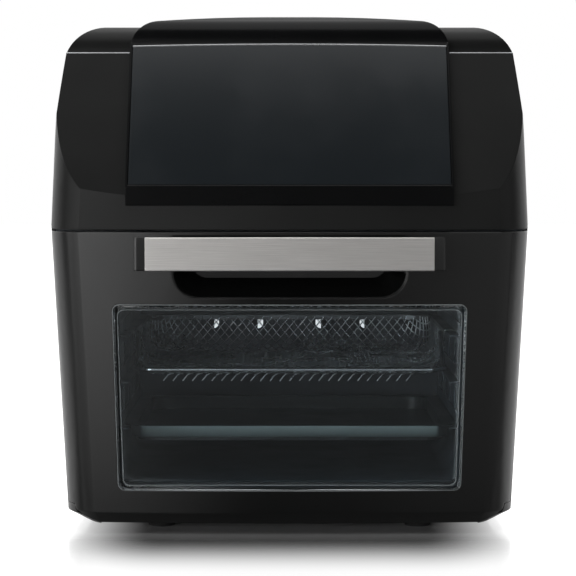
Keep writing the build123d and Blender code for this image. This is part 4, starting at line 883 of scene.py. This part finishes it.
def makeFloor():
    reach = stageSizes["reach"]
    mesh = bpy.data.meshes.new("studioFloor")
    corners = [(-reach, -reach, 0), (reach, -reach, 0), (reach, reach, 0), (-reach, reach, 0)]
    mesh.from_pydata(corners, [], [(0, 1, 2, 3)])
    floor = newObject("studioFloor", mesh)
    material, tree, shader, place = newMaterial("floorPaper", {"Roughness": stageSizes["floorRough"], "IOR": 1.5})
    way = addNode(tree, "ShaderNodeSeparateXYZ")
    tree.links.new(place, way.inputs["Vector"])

    def beyond(axis, half):
        past = mathNode(tree, "SUBTRACT", mathNode(tree, "ABSOLUTE", way.outputs[axis]), half)
        return mathNode(tree, "MAXIMUM", past, 0.0)

    # painted shade: the floor's colour turns dark in front of the object, so that the door and the pane reflect black
    # and the floor by the foot reads as shaded
    dark = rangeNode(tree, way.outputs["Y"], stageSizes["paintedShadeStart"], stageSizes["paintedShadeEnd"], 0.0, 1.0)
    paper = noiseNode(tree, place, stageSizes["paperScale"])
    tone = maskNode(tree, paper, "paper", stageSizes["floorLow"], stageSizes["floorHigh"])
    share = rangeNode(tree, dark, 0.0, 1.0, 1.0, stageSizes["paintedShadeShare"])
    tree.links.new(mathNode(tree, "MULTIPLY", tone, share), shader.inputs["Base Color"])
    # for the camera it glows towards white away from the footprint; where the glow fades out near the footprint it is a
    # painted shadow, over the shadow that the object casts
    outX, outY = (beyond(axis, half) for axis, half in zip("XY", stageSizes["footHalf"]))
    outX = mathNode(tree, "POWER", mathNode(tree, "MULTIPLY", outX, stageSizes["sideReach"]), 2.0)
    away = mathNode(tree, "SQRT", mathNode(tree, "ADD", outX, mathNode(tree, "POWER", outY, 2.0)))
    # painted shadow: no glow close to the footprint, rising over the lift span
    lift = rangeNode(tree, away, stageSizes["liftStart"], stageSizes["liftRun"], 0.0, stageSizes["lift"])
    lift.node.interpolation_type = "SMOOTHSTEP"
    seen = addNode(tree, "ShaderNodeLightPath")
    glow = addNode(tree, "ShaderNodeEmission")
    tree.links.new(mathNode(tree, "MULTIPLY", seen.outputs["Is Camera Ray"], lift), glow.inputs["Strength"])
    both = addNode(tree, "ShaderNodeAddShader")
    tree.links.new(shader.outputs["BSDF"], both.inputs[0])
    tree.links.new(glow.outputs["Emission"], both.inputs[1])
    tree.links.new(both.outputs["Shader"], tree.nodes["Material Output"].inputs["Surface"])
    mesh.materials.append(material)


def makeSurroundings():
    world = bpy.data.worlds.new("studio")
    bpy.context.scene.world = world
    world.use_nodes = True
    tree = world.node_tree
    way = addNode(tree, "ShaderNodeSeparateXYZ")
    tree.links.new(addNode(tree, "ShaderNodeTexCoord").outputs["Generated"], way.inputs["Vector"])

    def ramp(span, toLow, toHigh):
        axis, start, end = glowSpans[span]
        result = rangeNode(tree, way.outputs[axis], start, end, toLow, toHigh)
        result.node.interpolation_type = "SMOOTHSTEP"
        return result

    def product(*factors):
        total = factors[0]
        for factor in factors[1:]:
            total = mathNode(tree, "MULTIPLY", total, factor)
        return total

    backdrop = ramp("backdrop", 0.0, stageSizes["backdrop"])
    # tall soft sheets by the left and right of the camera, and a low one below it
    tall = product(ramp("tallFoot", 0.0, 1.0), ramp("tallHead", 1.0, stageSizes["upperShare"]))
    left = product(ramp("leftNear", stageSizes["leftGlow"], 0.0), ramp("leftFar", stageSizes["farShare"], 1.0))
    right = ramp("right", 0.0, stageSizes["rightGlow"])
    sides = product(mathNode(tree, "ADD", left, right), tall, ramp("front", 1.0, 0.0))
    low = product(ramp("lowFoot", 0.0, 1.0), ramp("lowHead", stageSizes["frontGlow"], 0.0),
                  ramp("lowRight", 1.0, 0.0), ramp("lowLeft", 0.0, 1.0))
    sides = mathNode(tree, "MAXIMUM", sides, low)
    glow = mathNode(tree, "MAXIMUM", mathNode(tree, "MAXIMUM", sides, backdrop), stageSizes["dim"])
    path = addNode(tree, "ShaderNodeLightPath")
    # metal and glass show the white backdrop behind the object too
    shown = mathNode(tree, "MAXIMUM", path.outputs["Is Glossy Ray"], path.outputs["Is Transmission Ray"])
    shown = product(shown, ramp("shown", 0.0, 1.0))
    shown = mathNode(tree, "MAXIMUM", shown, path.outputs["Is Camera Ray"])
    fill = tree.nodes["Background"]
    fill.inputs["Color"].default_value = (1, 1, 1, 1)
    tree.links.new(mathNode(tree, "MAXIMUM", glow, shown), fill.inputs["Strength"])


def makeLamp(name, place, target, size, power, tone):
    lamp = bpy.data.lights.new(name, "AREA")
    lamp.shape = "RECTANGLE"
    lamp.size, lamp.size_y = size
    lamp.energy = power
    lamp.color = tone
    holder = newObject(name, lamp)
    holder.location = place
    holder.rotation_euler = (Vector(target) - Vector(place)).to_track_quat("-Z", "Y").to_euler()


lampSet = [
    {"name": "topBox", "place": (0.0, -0.08, 1.9), "target": (0, -0.08, 0.0), "size": (1.8, 1.95), "power": 19.0,
     "tone": (1.0, 1.0, 1.0)},
]
cameraSet = {"place": (-0.0011, -1.5, 0.252), "pitch": 3.487, "focal": 2003.6, "frame": 576.0, "sensor": 36.0}


def makeCamera():
    lens = bpy.data.cameras.new("viewCamera")
    lens.sensor_width = cameraSet["sensor"]
    lens.lens = cameraSet["focal"] / cameraSet["frame"] * cameraSet["sensor"]
    camera = newObject("viewCamera", lens)
    camera.location = cameraSet["place"]
    camera.rotation_euler = (math.radians(90.0 - cameraSet["pitch"]), 0, 0)
    bpy.context.scene.camera = camera


makeFloor()
makeSurroundings()
for lamp in lampSet:
    makeLamp(**lamp)
makeCamera()
bpy.context.scene.view_settings.view_transform = "Standard"
print("stage set")
